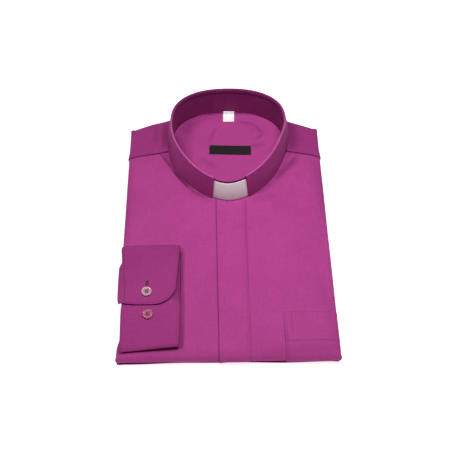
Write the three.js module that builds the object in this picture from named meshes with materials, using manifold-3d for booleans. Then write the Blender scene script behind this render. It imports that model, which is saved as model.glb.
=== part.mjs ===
// A clergy shirt with a tab collar, buttoned up and folded flat for display.
//
// Millimetres, +Z up. The shirt lies on its back: +Y points from the bottom fold to the collar,
// and the origin is the middle of the flat underside.
//
// Every piece is a wall of cloth: a grid of outer points and the same grid moved in by the wall.
// The pieces on the body share one surface, onBody, which is flat in the middle, rises to the
// collar and rolls over the side, bottom and shoulder folds. The collar pieces share one neck
// line and a small table of how the band leans, rolls and stands at the front, side and back.

import * as THREE from 'three';
import { mergeVertices } from 'three/addons/utils/BufferGeometryUtils.js';
import Module from 'manifold-3d';

const wasm = await Module();
wasm.setup();

// ---------------------------------------------------------------- driving dimensions

const GAP = 0.3;               // between neighbouring pieces
const PANEL_WALL = 1.5;        // front panels
const LAID_WALL = 1.2;         // placket and pocket, laid on a panel
const YOKE_WALL = 2.0;         // two layers of shirting

const BODY_WIDTH = 250;        // across the folded body
const BODY_LENGTH = 328;       // bottom fold to shoulder corner
const FOLD_RADIUS = 5.6;       // outer round of the side, bottom and shoulder folds
const EDGE_TOP = 14;           // height of the cloth where it starts to fold over
const CROWN = 1.6;             // the middle lies this much higher than the folds
const WRAP_STEPS = [0, 30, 60, 90, 120, 150];   // degrees round a fold where points are set
const SLACK = 3.5;             // the left side fold draws in this much below the cuff

const INNER_X = BODY_WIDTH / 2 - FOLD_RADIUS;    // where the side folds start
const INNER_Y = BODY_LENGTH / 2 - FOLD_RADIUS;   // where the bottom fold starts

// The shoulder fold, drawn through these places; it runs out round the back of the neck.
const SHOULDER_FOLD = [
  { x: -125, y: 162 }, { x: -100, y: 172 }, { x: -76, y: 179 }, { x: -46, y: 190 },
  { x: 5, y: 196 },
  { x: 56, y: 190 }, { x: 86, y: 177 }, { x: 106, y: 169.5 }, { x: 125, y: 162 },
];
// The seam is nearly straight and drops at the side folds: y = middle - drop (|x| / side)^power.
const YOKE_SEAM = { middle: 121.8, drop: 9.5, side: 124, power: 8 };

// The neck line at the rim: half of an egg in front, half of a rounder one behind.
// Blunt keeps its tips from being points, and the powers blend over the turn from front to back.
const NECK = {
  x: 4.8, y: 148, side: 75.3, front: 101, back: 52.4,
  frontPower: 1.7, backPower: 2.3, blunt: 0.09, turn: 0.35,
};
const NECK_POINTS = 720;       // places worked out along the rim
const SLOPE_SPAN = 4;          // places either side of a station that give its direction
const RIM_TOP = 52;            // height of the collar's rolled rim
const COLLAR_WALL = 1.3;
const STAND_DROP = 3.4;        // the stand ends this far below the roll
const TAB_ROOM = 0.5;          // clear space on each face of the white tab

// How the collar's section changes round the neck. Lean: how far the leaf's foot stands outside
// its rim. StandFoot: how far inside the rim the stand's inner face meets the shirt. Roll: width
// of the rolled rim.
const COLLAR = {
  front: { lean: 9, standFoot: -2.1, roll: 4.6 },
  side: { lean: 5, standFoot: 1.6, roll: 4.6 },
  back: { lean: 0.5, standFoot: 5.6, roll: 8.6 },
};
// The fronts rise to the collar's foot over a reach, less so past the shoulders.
const RISE = 4.6;
const RISE_REACH = 46;
const RISE_LOSS = { share: 0.75, from: 105, to: 170 };
const CROWN_FADE = { bottom: 60, from: 120, to: 175 };   // the crown dies out over these
// Height of the stand's foot in front and behind, and where along Y it changes.
const STAND_FOOT = { front: 18.4, back: 7.3, from: 118, to: 172 };
// The leaf hangs clear of the highest cloth under its wall, felt at these distances through it.
const LEAF_FOOT = { back: 11, clear: 0.7, felt: [-0.6, 0.6, 1.8] };
const RING_STEPS = 56;
const LEAF_GAP = { left: 20, right: 23 };   // from the neck's front centre, round the neck

const TAB = { length: 96, wall: 1, foot: 21, top: 45.5, middle: 1.7 };

const SHEET = { under: 5, top: 7, margin: 7, front: 52 };   // yoke seen inside the neck

const FRONT_EDGE = 1;          // the two fronts meet here, under the placket
// The placket's left edge drifts out by flare; its top follows the leaf's foot, clear of it.
const PLACKET = { left: -11.8, right: 25.4, top: 47, flare: 0.008, clear: 0.5, reach: 40 };
const POCKET = { left: 62.6, top: -108.5 };

const CUFF = {
  left: -121.8, right: -55.6, underRight: -54.4,
  topFold: -21.6, middle: -90, flapEnd: -101, cornerRadius: 25, cornerDepth: 23,
  bottomRight: -151, bottomLeft: -157, wall: 1.8,
};
const BUTTON = { radius: 5.8, height: 2.6, rim: 1.2, dish: 0.7, hole: 0.75, spacing: 1.5 };
const BUTTONS = [
  { name: 'cuff_button_1', x: -92.4, y: -86.2, colour: 0xd9b7c6 },
  { name: 'cuff_button_2', x: -90.1, y: -114.2, colour: 0xa3475d },
];
// The tag lies on the yoke from its front to lie before the band, and turns up clear of the band.
const SIZE_TAG = {
  x: 6.1, width: 15, front: 180, lie: 3.2, turn: 1.6, clear: 1.5, lift: 1.4, rise: 5,
  wall: 0.6, slant: 0.25,
};
const NECK_LABEL = { x: 7.3, y: 132, width: 55, depth: 15, wall: 0.7, turn: -0.028 };

const RAD = Math.PI / 180;
const clamp = THREE.MathUtils.clamp;
const lerp = THREE.MathUtils.lerp;
const smooth = THREE.MathUtils.smoothstep;

// ---------------------------------------------------------------- solids from grids

// A closed solid from an outer and an inner grid of points, joined along every open edge.
function closedWall(outer, inner, ring = false) {
  const rows = outer.length;
  const columns = outer[0].length;
  const points = [...outer.flat(), ...inner.flat()];
  const half = rows * columns;
  const faces = [];
  const at = (i, j) => (i % rows) * columns + j;
  const quad = (a, b, c, d) => faces.push(a, b, c, a, c, d);
  const lastRow = ring ? rows : rows - 1;
  for (let i = 0; i < lastRow; i += 1) {
    for (let j = 0; j < columns - 1; j += 1) {
      quad(at(i, j), at(i + 1, j), at(i + 1, j + 1), at(i, j + 1));
      quad(half + at(i, j), half + at(i, j + 1), half + at(i + 1, j + 1), half + at(i + 1, j));
    }
    quad(at(i, 0), half + at(i, 0), half + at(i + 1, 0), at(i + 1, 0));
    const [near, far] = [at(i, columns - 1), at(i + 1, columns - 1)];
    quad(near, far, half + far, half + near);
  }
  if (!ring) {
    for (let j = 0; j < columns - 1; j += 1) {
      quad(at(0, j), at(0, j + 1), half + at(0, j + 1), half + at(0, j));
      const [near, far] = [at(rows - 1, j), at(rows - 1, j + 1)];
      quad(near, half + near, half + far, far);
    }
  }
  return outward(points, faces);
}

// A geometry whose faces all point out: they are turned over if the volume comes out negative.
function outward(points, faces) {
  let volume = 0;
  for (let k = 0; k < faces.length; k += 3) {
    const [a, b, c] = [points[faces[k]], points[faces[k + 1]], points[faces[k + 2]]];
    volume += a.dot(new THREE.Vector3().crossVectors(b, c));
  }
  const order = volume < 0 ? faces.slice().reverse() : faces;
  const geometry = new THREE.BufferGeometry().setFromPoints(points);
  geometry.setIndex(order);
  return geometry;
}

// A wall from a function of two lists of places: place(u, v, side), with side 1 outside, 0 inside.
function wallOver(uPlaces, vPlaces, place, ring = false) {
  const grid = (side) => uPlaces.map((u) => vPlaces.map((v) => place(u, v, side)));
  return closedWall(grid(1), grid(0), ring);
}

function solidOf(geometry) {
  const bare = geometry.clone();
  bare.deleteAttribute('normal');
  bare.deleteAttribute('uv');
  const merged = mergeVertices(bare, 1e-4);
  return new wasm.Manifold(new wasm.Mesh({
    numProp: 3,
    vertProperties: new Float32Array(merged.attributes.position.array),
    triVerts: new Uint32Array(merged.index.array),
  }));
}

function geometryOf(solid) {
  const mesh = solid.getMesh();
  const geometry = new THREE.BufferGeometry();
  geometry.setAttribute('position', new THREE.BufferAttribute(new Float32Array(mesh.vertProperties), 3));
  geometry.setIndex(new THREE.BufferAttribute(new Uint32Array(mesh.triVerts), 1));
  return geometry;
}

// An upright prism on a closed outline.
function prism(outline, bottom, top) {
  const shape = new THREE.Shape(outline.map((p) => new THREE.Vector2(p.x, p.y)));
  const geometry = new THREE.ExtrudeGeometry(shape, { depth: top - bottom, bevelEnabled: false });
  return geometry.translate(0, 0, bottom);
}

// Even places from a to b, both included.
function spread(a, b, steps) {
  return Array.from({ length: steps + 1 }, (_, k) => lerp(a, b, k / steps));
}

// ---------------------------------------------------------------- the neck line

// Distance from the neck's centre to the rim in the direction of an angle.
function neckRadius(angle) {
  const across = Math.hypot(Math.cos(angle), NECK.blunt) / NECK.side;
  const behind = Math.sin(angle) > 0;
  const along = Math.hypot(Math.sin(angle), NECK.blunt) / (behind ? NECK.back : NECK.front);
  const share = smooth(Math.sin(angle), -NECK.turn, NECK.turn);
  const power = lerp(NECK.frontPower, NECK.backPower, share);
  return (across ** power + along ** power) ** (-1 / power);
}

// The rim as a closed line from the front centre, first towards +X.
const NECK_LINE = spread(-90, 270, NECK_POINTS).map((degrees) => {
  const angle = degrees * RAD;
  const radius = neckRadius(angle);
  return new THREE.Vector2(NECK.x + radius * Math.cos(angle), NECK.y + radius * Math.sin(angle));
});
const NECK_RUN = [0];
for (let k = 1; k < NECK_LINE.length; k += 1) {
  NECK_RUN.push(NECK_RUN[k - 1] + NECK_LINE[k].distanceTo(NECK_LINE[k - 1]));
}
const NECK_LENGTH = NECK_RUN[NECK_RUN.length - 1];

// A station at a distance round the rim: its point, the way in, and the section's sizes there.
function station(distance) {
  const run = ((distance % NECK_LENGTH) + NECK_LENGTH) % NECK_LENGTH;
  const next = Math.max(1, NECK_RUN.findIndex((value) => value >= run));
  const part = (run - NECK_RUN[next - 1]) / (NECK_RUN[next] - NECK_RUN[next - 1]);
  const point = NECK_LINE[next - 1].clone().lerp(NECK_LINE[next], part);
  const before = NECK_LINE[(next - 1 + NECK_POINTS - SLOPE_SPAN) % NECK_POINTS];
  const after = NECK_LINE[(next + SLOPE_SPAN) % NECK_POINTS];
  const along = after.clone().sub(before).normalize();
  const inward = new THREE.Vector2(-along.y, along.x);
  const ahead = -(point.y - NECK.y) / Math.hypot(point.x - NECK.x, point.y - NECK.y);
  const front = Math.max(0, ahead) ** 2;
  const back = Math.max(0, -ahead) ** 2;
  const size = (name) => COLLAR.front[name] * front + COLLAR.back[name] * back
    + COLLAR.side[name] * (1 - front - back);
  return { point, inward, lean: size('lean'), standFoot: size('standFoot'), roll: size('roll') };
}

// A point of a station's section: a distance in from the rim line, and a height.
function onSection(here, into, height) {
  return new THREE.Vector3(
    here.point.x + here.inward.x * into,
    here.point.y + here.inward.y * into,
    height,
  );
}

// How far in from the rim line the leaf's outer face is at a height.
function leafFace(here, height) {
  const foot = EDGE_TOP + RISE;
  const share = clamp((RIM_TOP - here.roll / 2 - height) / (RIM_TOP - here.roll / 2 - foot), 0, 1.2);
  return -here.lean * share;
}

// ---------------------------------------------------------------- the body's surface

const shoulderCurve = new THREE.SplineCurve(SHOULDER_FOLD.map((p) => new THREE.Vector2(p.x, p.y)));
const shoulderPoints = shoulderCurve.getPoints(160);

function shoulderFold(x) {
  const next = clamp(shoulderPoints.findIndex((p) => p.x >= x), 1, shoulderPoints.length - 1);
  const [a, b] = [shoulderPoints[next - 1], shoulderPoints[next]];
  return lerp(a.y, b.y, clamp((x - a.x) / (b.x - a.x), 0, 1));
}

function yokeSeam(x) {
  return YOKE_SEAM.middle - YOKE_SEAM.drop * (Math.abs(x) / YOKE_SEAM.side) ** YOKE_SEAM.power;
}

// Height of the top cloth above the underside, away from the folds.
function bodyTop(x, y) {
  const crown = CROWN * Math.max(0, 1 - (x / INNER_X) ** 2)
    * smooth(y, -INNER_Y, -INNER_Y + CROWN_FADE.bottom)
    * (1 - smooth(y, CROWN_FADE.from, CROWN_FADE.to));
  const angle = Math.atan2(y - NECK.y, x - NECK.x);
  const outside = Math.hypot(x - NECK.x, y - NECK.y) - neckRadius(angle) - COLLAR.front.lean;
  const near = 1 - smooth(outside, 0, RISE_REACH);
  const shoulder = 1 - RISE_LOSS.share * smooth(y, RISE_LOSS.from, RISE_LOSS.to);
  return EDGE_TOP + crown + (RISE - CROWN / 2) * near * shoulder;
}

// The left side fold draws in a little below the cuff.
function drawnIn(x, y) {
  return x + SLACK * smooth(-y, 60, 112) * clamp(-x / INNER_X, 0, 1);
}

// A point on the body: (a, b) is its place on the cloth laid flat, and lift its distance outwards
// from the outer face. Past a fold's start the cloth rolls over it; in a corner it fans round.
function onBody(a, b, lift) {
  const x = clamp(a, -INNER_X, INNER_X);
  const y = clamp(b, -INNER_Y, shoulderFold(x) - FOLD_RADIUS);
  const [overX, overY] = [Math.abs(a - x), Math.abs(b - y)];
  const over = Math.max(overX, overY);
  const fan = overX >= overY
    ? (overX > 0 ? (Math.PI / 4) * (overY / overX) : 0)
    : Math.PI / 2 - (Math.PI / 4) * (overX / overY);
  const turn = over / FOLD_RADIUS;
  const reach = (FOLD_RADIUS + lift) * Math.sin(turn);
  const px = x + Math.sign(a - x) * Math.cos(fan) * reach;
  const py = y + Math.sign(b - y) * Math.sin(fan) * reach;
  const height = bodyTop(x, y) - FOLD_RADIUS + (FOLD_RADIUS + lift) * Math.cos(turn);
  return new THREE.Vector3(drawnIn(px, py), py, height);
}

const WRAP = WRAP_STEPS.map((degrees) => degrees * RAD * FOLD_RADIUS);
const WRAP_IN = WRAP.slice(1).reverse();

// Columns across the body from left wrap to right wrap, and rows from bottom wrap to seam.
const MIDDLE_COLUMNS = [-104, -88, -72, -55, -38, -21, FRONT_EDGE, 22, 42, 61, 76, 90, 105];
const COLUMNS = [
  ...WRAP_IN.map((d) => -INNER_X - d), -INNER_X, ...MIDDLE_COLUMNS, INNER_X,
  ...WRAP.slice(1).map((d) => INNER_X + d),
];
const LOW_ROWS = [
  ...WRAP_IN.map((d) => -INNER_Y - d), -INNER_Y, -128, -98, -60, -20, 10, 28, 42, 56, 70, 84, 97,
];
const YOKE_ROWS = [0, 0.3, 0.62, 1];   // shares of the way from the seam to the shoulder fold

function yokeRow(x, share) {
  return lerp(yokeSeam(x), shoulderFold(x) - FOLD_RADIUS, share);
}

function between(places, low, high) {
  return [low, ...places.filter((p) => p > low + 1 && p < high - 1), high];
}

// ---------------------------------------------------------------- hidden layers

// The stack of hidden layers: back, tail and sleeves folded behind. Its top is the body's surface
// moved in, its edge is two layered lips under the wraps, and its underside is flat.
const LAYERS = [
  { out: 1, height: 5.3 }, { out: 1.3, height: 3.2 }, { out: 3.9, height: 3 },
  { out: 3.6, height: 1.9 }, { out: 2.2, height: 1.7 }, { out: 4.6, height: 1.4 },
  { out: 4.4, height: 0 },
];
const LAYERS_LIFT = -2.4;      // clear of the yoke's inner face

function hiddenStack() {
  const topRows = WRAP.slice(1, 5);
  const rowsAt = (a) => {
    const x = clamp(a, -INNER_X, INNER_X);
    const shoulder = YOKE_ROWS.map((share) => yokeRow(x, share));
    return [...LOW_ROWS.slice(1), ...shoulder, ...topRows.map((d) => shoulder[3] + d)];
  };
  const columns = COLUMNS.slice(1, -1);
  const grid = columns.map((a) => rowsAt(a).map((b) => onBody(a, b, LAYERS_LIFT)));
  const flat = columns.map((a) => rowsAt(a).map((b) => ({ a, b })));
  const [m, n] = [grid.length, grid[0].length];
  const rim = [];
  for (let i = 0; i < m; i += 1) {
    rim.push([i, 0]);
  }
  for (let j = 1; j < n; j += 1) {
    rim.push([m - 1, j]);
  }
  for (let i = m - 2; i >= 0; i -= 1) {
    rim.push([i, n - 1]);
  }
  for (let j = n - 2; j > 0; j -= 1) {
    rim.push([0, j]);
  }
  const points = grid.flat();
  const faces = [];
  for (let i = 0; i < m - 1; i += 1) {
    for (let j = 0; j < n - 1; j += 1) {
      const [p, q] = [i * n + j, (i + 1) * n + j];
      faces.push(p, q, q + 1, p, q + 1, p + 1);
    }
  }
  let ring = rim.map(([i, j]) => i * n + j);
  for (const layer of LAYERS) {
    const start = points.length;
    for (const [i, j] of rim) {
      points.push(edgePoint(flat[i][j].a, flat[i][j].b, layer));
    }
    ring = joinRings(faces, ring, ring.map((_, k) => start + k));
  }
  const centre = points.push(new THREE.Vector3(0, 0, 0)) - 1;
  ring.forEach((p, k) => faces.push(p, centre, ring[(k + 1) % ring.length]));
  return outward(points, faces);
}

// A point of a layer's edge: out from where the fold starts, at the layer's height.
function edgePoint(a, b, layer) {
  const x = clamp(a, -INNER_X, INNER_X);
  const y = clamp(b, -INNER_Y, shoulderFold(x) - FOLD_RADIUS);
  const toFold = onBody(a, b, 0).setZ(0);
  const start = new THREE.Vector3(drawnIn(x, y), y, 0);
  const away = toFold.sub(start).normalize().multiplyScalar(layer.out);
  return new THREE.Vector3(start.x + away.x, start.y + away.y, layer.height);
}

function joinRings(faces, from, to) {
  from.forEach((p, k) => {
    const next = (k + 1) % from.length;
    faces.push(p, to[k], to[next], p, to[next], from[next]);
  });
  return to;
}

// ---------------------------------------------------------------- collar

// The stand: an upright band round the neck, from its foot on the shirt to just under the roll.
function standWall(grow) {
  const heights = [0, 0.5, 1];
  const places = spread(0, NECK_LENGTH, RING_STEPS).slice(0, -1);
  return wallOver(places, heights, (s, share, side) => {
    const here = station(s);
    const low = smooth(here.point.y, STAND_FOOT.from, STAND_FOOT.to);
    const foot = lerp(STAND_FOOT.front, STAND_FOOT.back, low) - grow;
    const top = RIM_TOP - here.roll / 2 - STAND_DROP + grow;
    const inner = lerp(here.standFoot, here.roll, share);
    const into = inner - side * (COLLAR_WALL + 2 * grow) + grow;
    return onSection(here, into, lerp(foot, top, share));
  }, true);
}

// Where the leaf's lower edge hangs: just above the shoulders, lower behind the neck.
function leafFoot(here) {
  const heights = LEAF_FOOT.felt.map((into) => {
    const place = onSection(here, into - here.lean, 0);
    const start = shoulderFold(place.x) - FOLD_RADIUS;
    const past = clamp(place.y - start, 0, FOLD_RADIUS);
    const round = FOLD_RADIUS - Math.sqrt(FOLD_RADIUS ** 2 - past ** 2);
    return bodyTop(place.x, Math.min(place.y, start)) - round;
  });
  return Math.max(LEAF_FOOT.back, Math.max(...heights) + LEAF_FOOT.clear);
}

// The leaf: up from its foot, over the rolled rim and down to the top of the stand.
const ROLL_STEPS = [0, 45, 90, 135, 180];

function leafWall() {
  const places = spread(LEAF_GAP.right, NECK_LENGTH - LEAF_GAP.left, RING_STEPS - 6);
  const path = [
    { part: 'face', share: 0 }, { part: 'face', share: 0.5 },
    ...ROLL_STEPS.map((angle) => ({ part: 'roll', angle: angle * RAD })),
    { part: 'inside' },
  ];
  return wallOver(places, path, (s, step, side) => {
    const here = station(s);
    const radius = here.roll / 2;
    const centre = RIM_TOP - radius;
    const wall = side ? 0 : COLLAR_WALL;
    if (step.part === 'face') {
      const height = lerp(leafFoot(here), centre, step.share);
      return onSection(here, leafFace(here, height) + wall, height);
    }
    if (step.part === 'inside') {
      return onSection(here, here.roll - wall, centre - STAND_DROP + GAP);
    }
    const reach = radius - wall;
    return onSection(here, radius - reach * Math.cos(step.angle), centre + reach * Math.sin(step.angle));
  });
}

// The white tab, bent round the front of the stand, its ends tucked behind the leaf.
function tabWall() {
  const places = spread(TAB.middle - TAB.length / 2, TAB.middle + TAB.length / 2, 18);
  return wallOver(places, [TAB.foot, TAB.top], (s, height, side) => {
    const here = station(s);
    const behind = COLLAR_WALL + TAB_ROOM + (side ? 0 : TAB.wall);
    return onSection(here, leafFace(here, height) + behind, height);
  });
}

// ---------------------------------------------------------------- body pieces

// An outline round the neck, a distance outside the stand's foot.
function neckOutline(grow) {
  return spread(0, NECK_LENGTH, RING_STEPS).slice(0, -1).map((s) => {
    const here = station(s);
    return onSection(here, here.standFoot - COLLAR_WALL - grow, 0);
  });
}

function frontPanel(fromEdge, toEdge) {
  const rows = [...LOW_ROWS, 'seam'];
  const wall = wallOver(between(COLUMNS, fromEdge, toEdge), rows, (a, row, side) => {
    const x = clamp(a, -INNER_X, INNER_X);
    const b = row === 'seam' ? yokeSeam(x) - GAP / 2 : row;
    return onBody(a, b, side ? 0 : -PANEL_WALL);
  });
  return geometryOf(solidOf(wall).subtract(solidOf(prism(neckOutline(GAP), 0, RIM_TOP))));
}

// The yoke: over both shoulders and round the shoulder fold, and the sheet of it inside the neck.
function yoke() {
  const rows = [...YOKE_ROWS.map((share) => ({ share })), ...WRAP.slice(1).map((over) => ({ over }))];
  const shoulders = wallOver(COLUMNS, rows, (a, row, side) => {
    const x = clamp(a, -INNER_X, INNER_X);
    const start = row.over === undefined ? yokeRow(x, row.share) : yokeRow(x, 1) + row.over;
    const b = row.share === 0 ? start + GAP / 2 : start;
    return onBody(a, b, side ? 0 : -YOKE_WALL);
  });
  const neck = solidOf(prism(neckOutline(GAP), SHEET.top, RIM_TOP));
  return geometryOf(solidOf(shoulders).subtract(neck).add(solidOf(insideSheet(0))));
}

// The sheet inside the neck, with its back edge on the shoulder fold.
function insideSheet(grow) {
  const outline = neckOutline(SHEET.margin + grow).map((p) => new THREE.Vector2(
    p.x,
    clamp(p.y, SHEET.front - grow, shoulderFold(p.x) - 1),
  ));
  return prism(outline, SHEET.under - grow, SHEET.top + grow);
}

function placket() {
  const rows = LOW_ROWS.slice(1).filter((b) => b < PLACKET.top - 6);
  const columns = [0, 0.33, 0.67, 1];
  return wallOver(columns, [...rows, PLACKET.top], (share, b, side) => {
    const a = lerp(PLACKET.left, PLACKET.right, share) - PLACKET.flare * b * (1 - share);
    const neckLine = b === PLACKET.top ? placketTop(a) : b;
    return onBody(a, neckLine, GAP + side * LAID_WALL);
  });
}

// The placket's top edge follows the collar's foot, a gap below it.
function placketTop(x) {
  const outline = spread(-PLACKET.reach, PLACKET.reach, 40).map((s) => station(s));
  const near = outline.map((here) => onSection(here, -here.lean - GAP - PLACKET.clear, 0));
  const next = clamp(near.findIndex((p) => p.x >= x), 1, near.length - 1);
  const [p, q] = [near[next - 1], near[next]];
  return lerp(p.y, q.y, (x - p.x) / (q.x - p.x));
}

function pocket() {
  const columns = between(COLUMNS, POCKET.left, COLUMNS[COLUMNS.length - 2]);
  const rows = between(LOW_ROWS, LOW_ROWS[1], POCKET.top);
  return wallOver(columns, rows, (a, b, side) => onBody(a, b, GAP + side * LAID_WALL));
}

// ---------------------------------------------------------------- sleeve end

// The cuff's section, from the flap's end over the top fold, along the bottom and back up on top.
const CUFF_LIFT = { bottom: 1.2, under: 6.4, flap: 8.5 };   // middle of each layer over the front
const FOLD_TURNS = [0, 50, 90, 130, 180];   // degrees round a fold of the cuff
const CUFF_PATH = [
  { y: 'flap', lift: CUFF_LIFT.flap - 0.3 }, { y: -80, lift: CUFF_LIFT.flap },
  { y: -50, lift: CUFF_LIFT.flap },
  ...FOLD_TURNS.map((turn) => ({ fold: 'top', turn })),
  { y: -64, lift: CUFF_LIFT.bottom, under: true }, { y: -106, lift: CUFF_LIFT.bottom, under: true },
  ...FOLD_TURNS.toReversed().map((turn) => ({ fold: 'bottom', turn })),
  { y: -106, lift: 6.2 }, { y: -94, lift: 5.4 }, { y: -60, lift: 5.2 }, { y: -38, lift: 5 },
];

function cuffPoint(x, step) {
  const bottomY = lerp(CUFF.bottomLeft, CUFF.bottomRight, (x - CUFF.left) / (CUFF.right - CUFF.left));
  if (step.fold) {
    const top = step.fold === 'top';
    const radius = ((top ? CUFF_LIFT.flap : CUFF_LIFT.under) - CUFF_LIFT.bottom) / 2;
    const reach = radius + CUFF.wall / 2;
    const centreY = top ? CUFF.topFold - reach : bottomY + reach;
    const angle = step.turn * RAD;
    const y = centreY + (top ? 1 : -1) * radius * Math.sin(angle);
    return { y, lift: CUFF_LIFT.bottom + radius + radius * Math.cos(angle) };
  }
  if (step.y === 'flap') {
    const past = Math.max(0, x - (CUFF.right - CUFF.cornerRadius));
    const cut = CUFF.cornerRadius - Math.sqrt(Math.max(0, CUFF.cornerRadius ** 2 - past ** 2));
    return { y: CUFF.flapEnd + cut * (CUFF.cornerDepth / CUFF.cornerRadius), lift: step.lift };
  }
  return { y: step.y, lift: step.lift };
}

// Outer and inner points stand either side of the path, square to it.
function cuff() {
  const shares = [0, 0.2, 0.42, 0.64, 0.76, 0.87, 0.95, 1];
  const spots = CUFF_PATH.map((_, k) => k);
  return wallOver(shares, spots, (share, k, side) => {
    const under = CUFF_PATH[k].under ? CUFF.underRight : CUFF.right;
    const x = lerp(CUFF.left, under, share);
    const here = cuffPoint(x, CUFF_PATH[k]);
    const before = cuffPoint(x, CUFF_PATH[Math.max(0, k - 1)]);
    const after = cuffPoint(x, CUFF_PATH[Math.min(CUFF_PATH.length - 1, k + 1)]);
    const along = new THREE.Vector2(after.y - before.y, after.lift - before.lift).normalize();
    const off = (side - 0.5) * CUFF.wall;
    const y = here.y - along.y * off;
    const lift = here.lift + along.x * off;
    return new THREE.Vector3(x, y, bodyTop(x, CUFF.middle) + lift);
  });
}

// The sleeve behind the cuff: its layers round the left side fold and under the body.
const SLEEVE = { top: -27, bottom: -99, floorEnd: -100, tuck: 1.6, tuckedAbove: 14 };
const SLEEVE_ROOM = { past: 0.6, width: 60, height: 2, beyond: 0.4 };   // cut for it in the layers
const SLEEVE_SECTION = [
  { outX: -122.1, outZ: 23, inX: -122.1, inZ: 15.2 },
  { outX: -124.6, outZ: 22, inX: -123.7, inZ: 14.2 },
  { outX: -126.6, outZ: 19.2, inX: -124.9, inZ: 12.4 },
  { outX: -127.4, outZ: 15, inX: -125.5, inZ: 10.4 },
  { outX: -127.4, outZ: 6, inX: -125.6, inZ: 6 },
  { outX: -126.8, outZ: 2, inX: -125.2, inZ: 3.2 },
  { outX: -124.6, outZ: 0, inX: -123.8, inZ: 1.6 },
  { outX: SLEEVE.floorEnd, outZ: 0, inX: SLEEVE.floorEnd, inZ: 1.6 },
];

function sleeve() {
  const rows = spread(SLEEVE.bottom, SLEEVE.top, 6);
  return wallOver(rows, SLEEVE_SECTION, (y, step, side) => {
    const end = Math.abs((y - (SLEEVE.top + SLEEVE.bottom) / 2) / ((SLEEVE.top - SLEEVE.bottom) / 2));
    const round = SLEEVE.tuck * end ** 6;
    const [x, z] = side ? [step.outX, step.outZ] : [step.inX, step.inZ];
    const tuck = side && z > SLEEVE.tuckedAbove ? round : 0;
    return new THREE.Vector3(x, y, z - tuck);
  });
}

// ---------------------------------------------------------------- small pieces

// A four-hole button, dished inside a raised rim.
function button({ x, y }) {
  const { radius, height, rim, dish, hole, spacing } = BUTTON;
  const profile = [
    [0, 0], [radius - 1, 0], [radius, 0.9], [radius, height - 0.6], [radius - 0.5, height],
    [radius - rim, height], [radius - rim - 0.7, height - dish], [0, height - dish],
  ].map(([r, z]) => new THREE.Vector2(r, z));
  let disc = solidOf(new THREE.LatheGeometry(profile, 22).rotateX(Math.PI / 2));
  for (const [dx, dy] of [[1, 1], [1, -1], [-1, 1], [-1, -1]]) {
    const drill = new THREE.CylinderGeometry(hole, hole, 3 * height, 8).rotateX(Math.PI / 2);
    disc = disc.subtract(solidOf(drill.translate(dx * spacing, dy * spacing, 0)));
  }
  const layer = y > CUFF.flapEnd ? CUFF_LIFT.flap : CUFF_LIFT.under;
  const seat = bodyTop(x, CUFF.middle) + layer + CUFF.wall / 2 + GAP;
  return geometryOf(disc).translate(x, y, seat);
}

// The size tag lies on the yoke and turns up the inside of the band.
function sizeTag() {
  const band = bandInside(SIZE_TAG.x);
  const path = [
    { y: SIZE_TAG.front, z: SHEET.top + GAP },
    { y: band - SIZE_TAG.lie, z: SHEET.top + GAP },
    { y: band - SIZE_TAG.turn, z: SHEET.top + SIZE_TAG.lift },
    { y: band - SIZE_TAG.clear, z: SHEET.top + SIZE_TAG.lift + SIZE_TAG.rise },
  ];
  return wallOver(spread(-0.5, 0.5, 1), path, (share, step, side) => {
    const [y, z] = step.z > SHEET.top + 1
      ? [step.y - side * SIZE_TAG.wall, step.z]
      : [step.y - side * SIZE_TAG.slant, step.z + side * SIZE_TAG.wall];
    return new THREE.Vector3(SIZE_TAG.x + share * SIZE_TAG.width, y, z);
  });
}

// Where the inside of the band meets the yoke at the back of the neck.
function bandInside(x) {
  const places = spread(NECK_LENGTH * 0.4, NECK_LENGTH * 0.6, 60).map((s) => {
    const here = station(s);
    return onSection(here, here.standFoot, 0);
  });
  const nearest = places.reduce((best, p) => (Math.abs(p.x - x) < Math.abs(best.x - x) ? p : best));
  return nearest.y;
}

function neckLabel() {
  const { x, y, width, depth, wall, turn } = NECK_LABEL;
  const plate = new THREE.BoxGeometry(width, depth, wall).rotateZ(turn);
  return plate.translate(x, y, SHEET.top + GAP + wall / 2);
}

// ---------------------------------------------------------------- the shirt

const COLOURS = {
  cloth: 0xb44390, shade: 0x9a3579, collar: 0x8f2f70, tab: 0xe9e2e4, tag: 0xf4eef2, label: 0x29242a,
};

function cloth(colour) {
  return new THREE.MeshStandardMaterial({ color: colour, roughness: 0.85, metalness: 0 });
}

function smoothPlastic(colour) {
  return new THREE.MeshStandardMaterial({ color: colour, roughness: 0.3, metalness: 0 });
}

const group = new THREE.Group();

function add(name, geometry, material) {
  const mesh = new THREE.Mesh(geometry, material);
  mesh.name = name;
  group.add(mesh);
}

// Room is cut in the hidden layers for the neck, the stand, the sheet inside it and the sleeve.
function foldedLayers() {
  const hollow = neckOutline(-COLLAR_WALL - 0.1);
  const { past, width, height, beyond } = SLEEVE_ROOM;
  const sleeveRoom = new THREE.BoxGeometry(width, SLEEVE.top - SLEEVE.bottom + 2 * past, 2 * height);
  sleeveRoom.translate(SLEEVE.floorEnd + beyond - width / 2, (SLEEVE.top + SLEEVE.bottom) / 2, 0);
  return geometryOf(solidOf(hiddenStack())
    .subtract(solidOf(prism(hollow, SHEET.top - 0.2, RIM_TOP)))
    .subtract(solidOf(standWall(0.35)))
    .subtract(solidOf(insideSheet(GAP)))
    .subtract(solidOf(sleeveRoom)));
}

const firstColumn = COLUMNS[0];
const lastColumn = COLUMNS[COLUMNS.length - 1];

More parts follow.
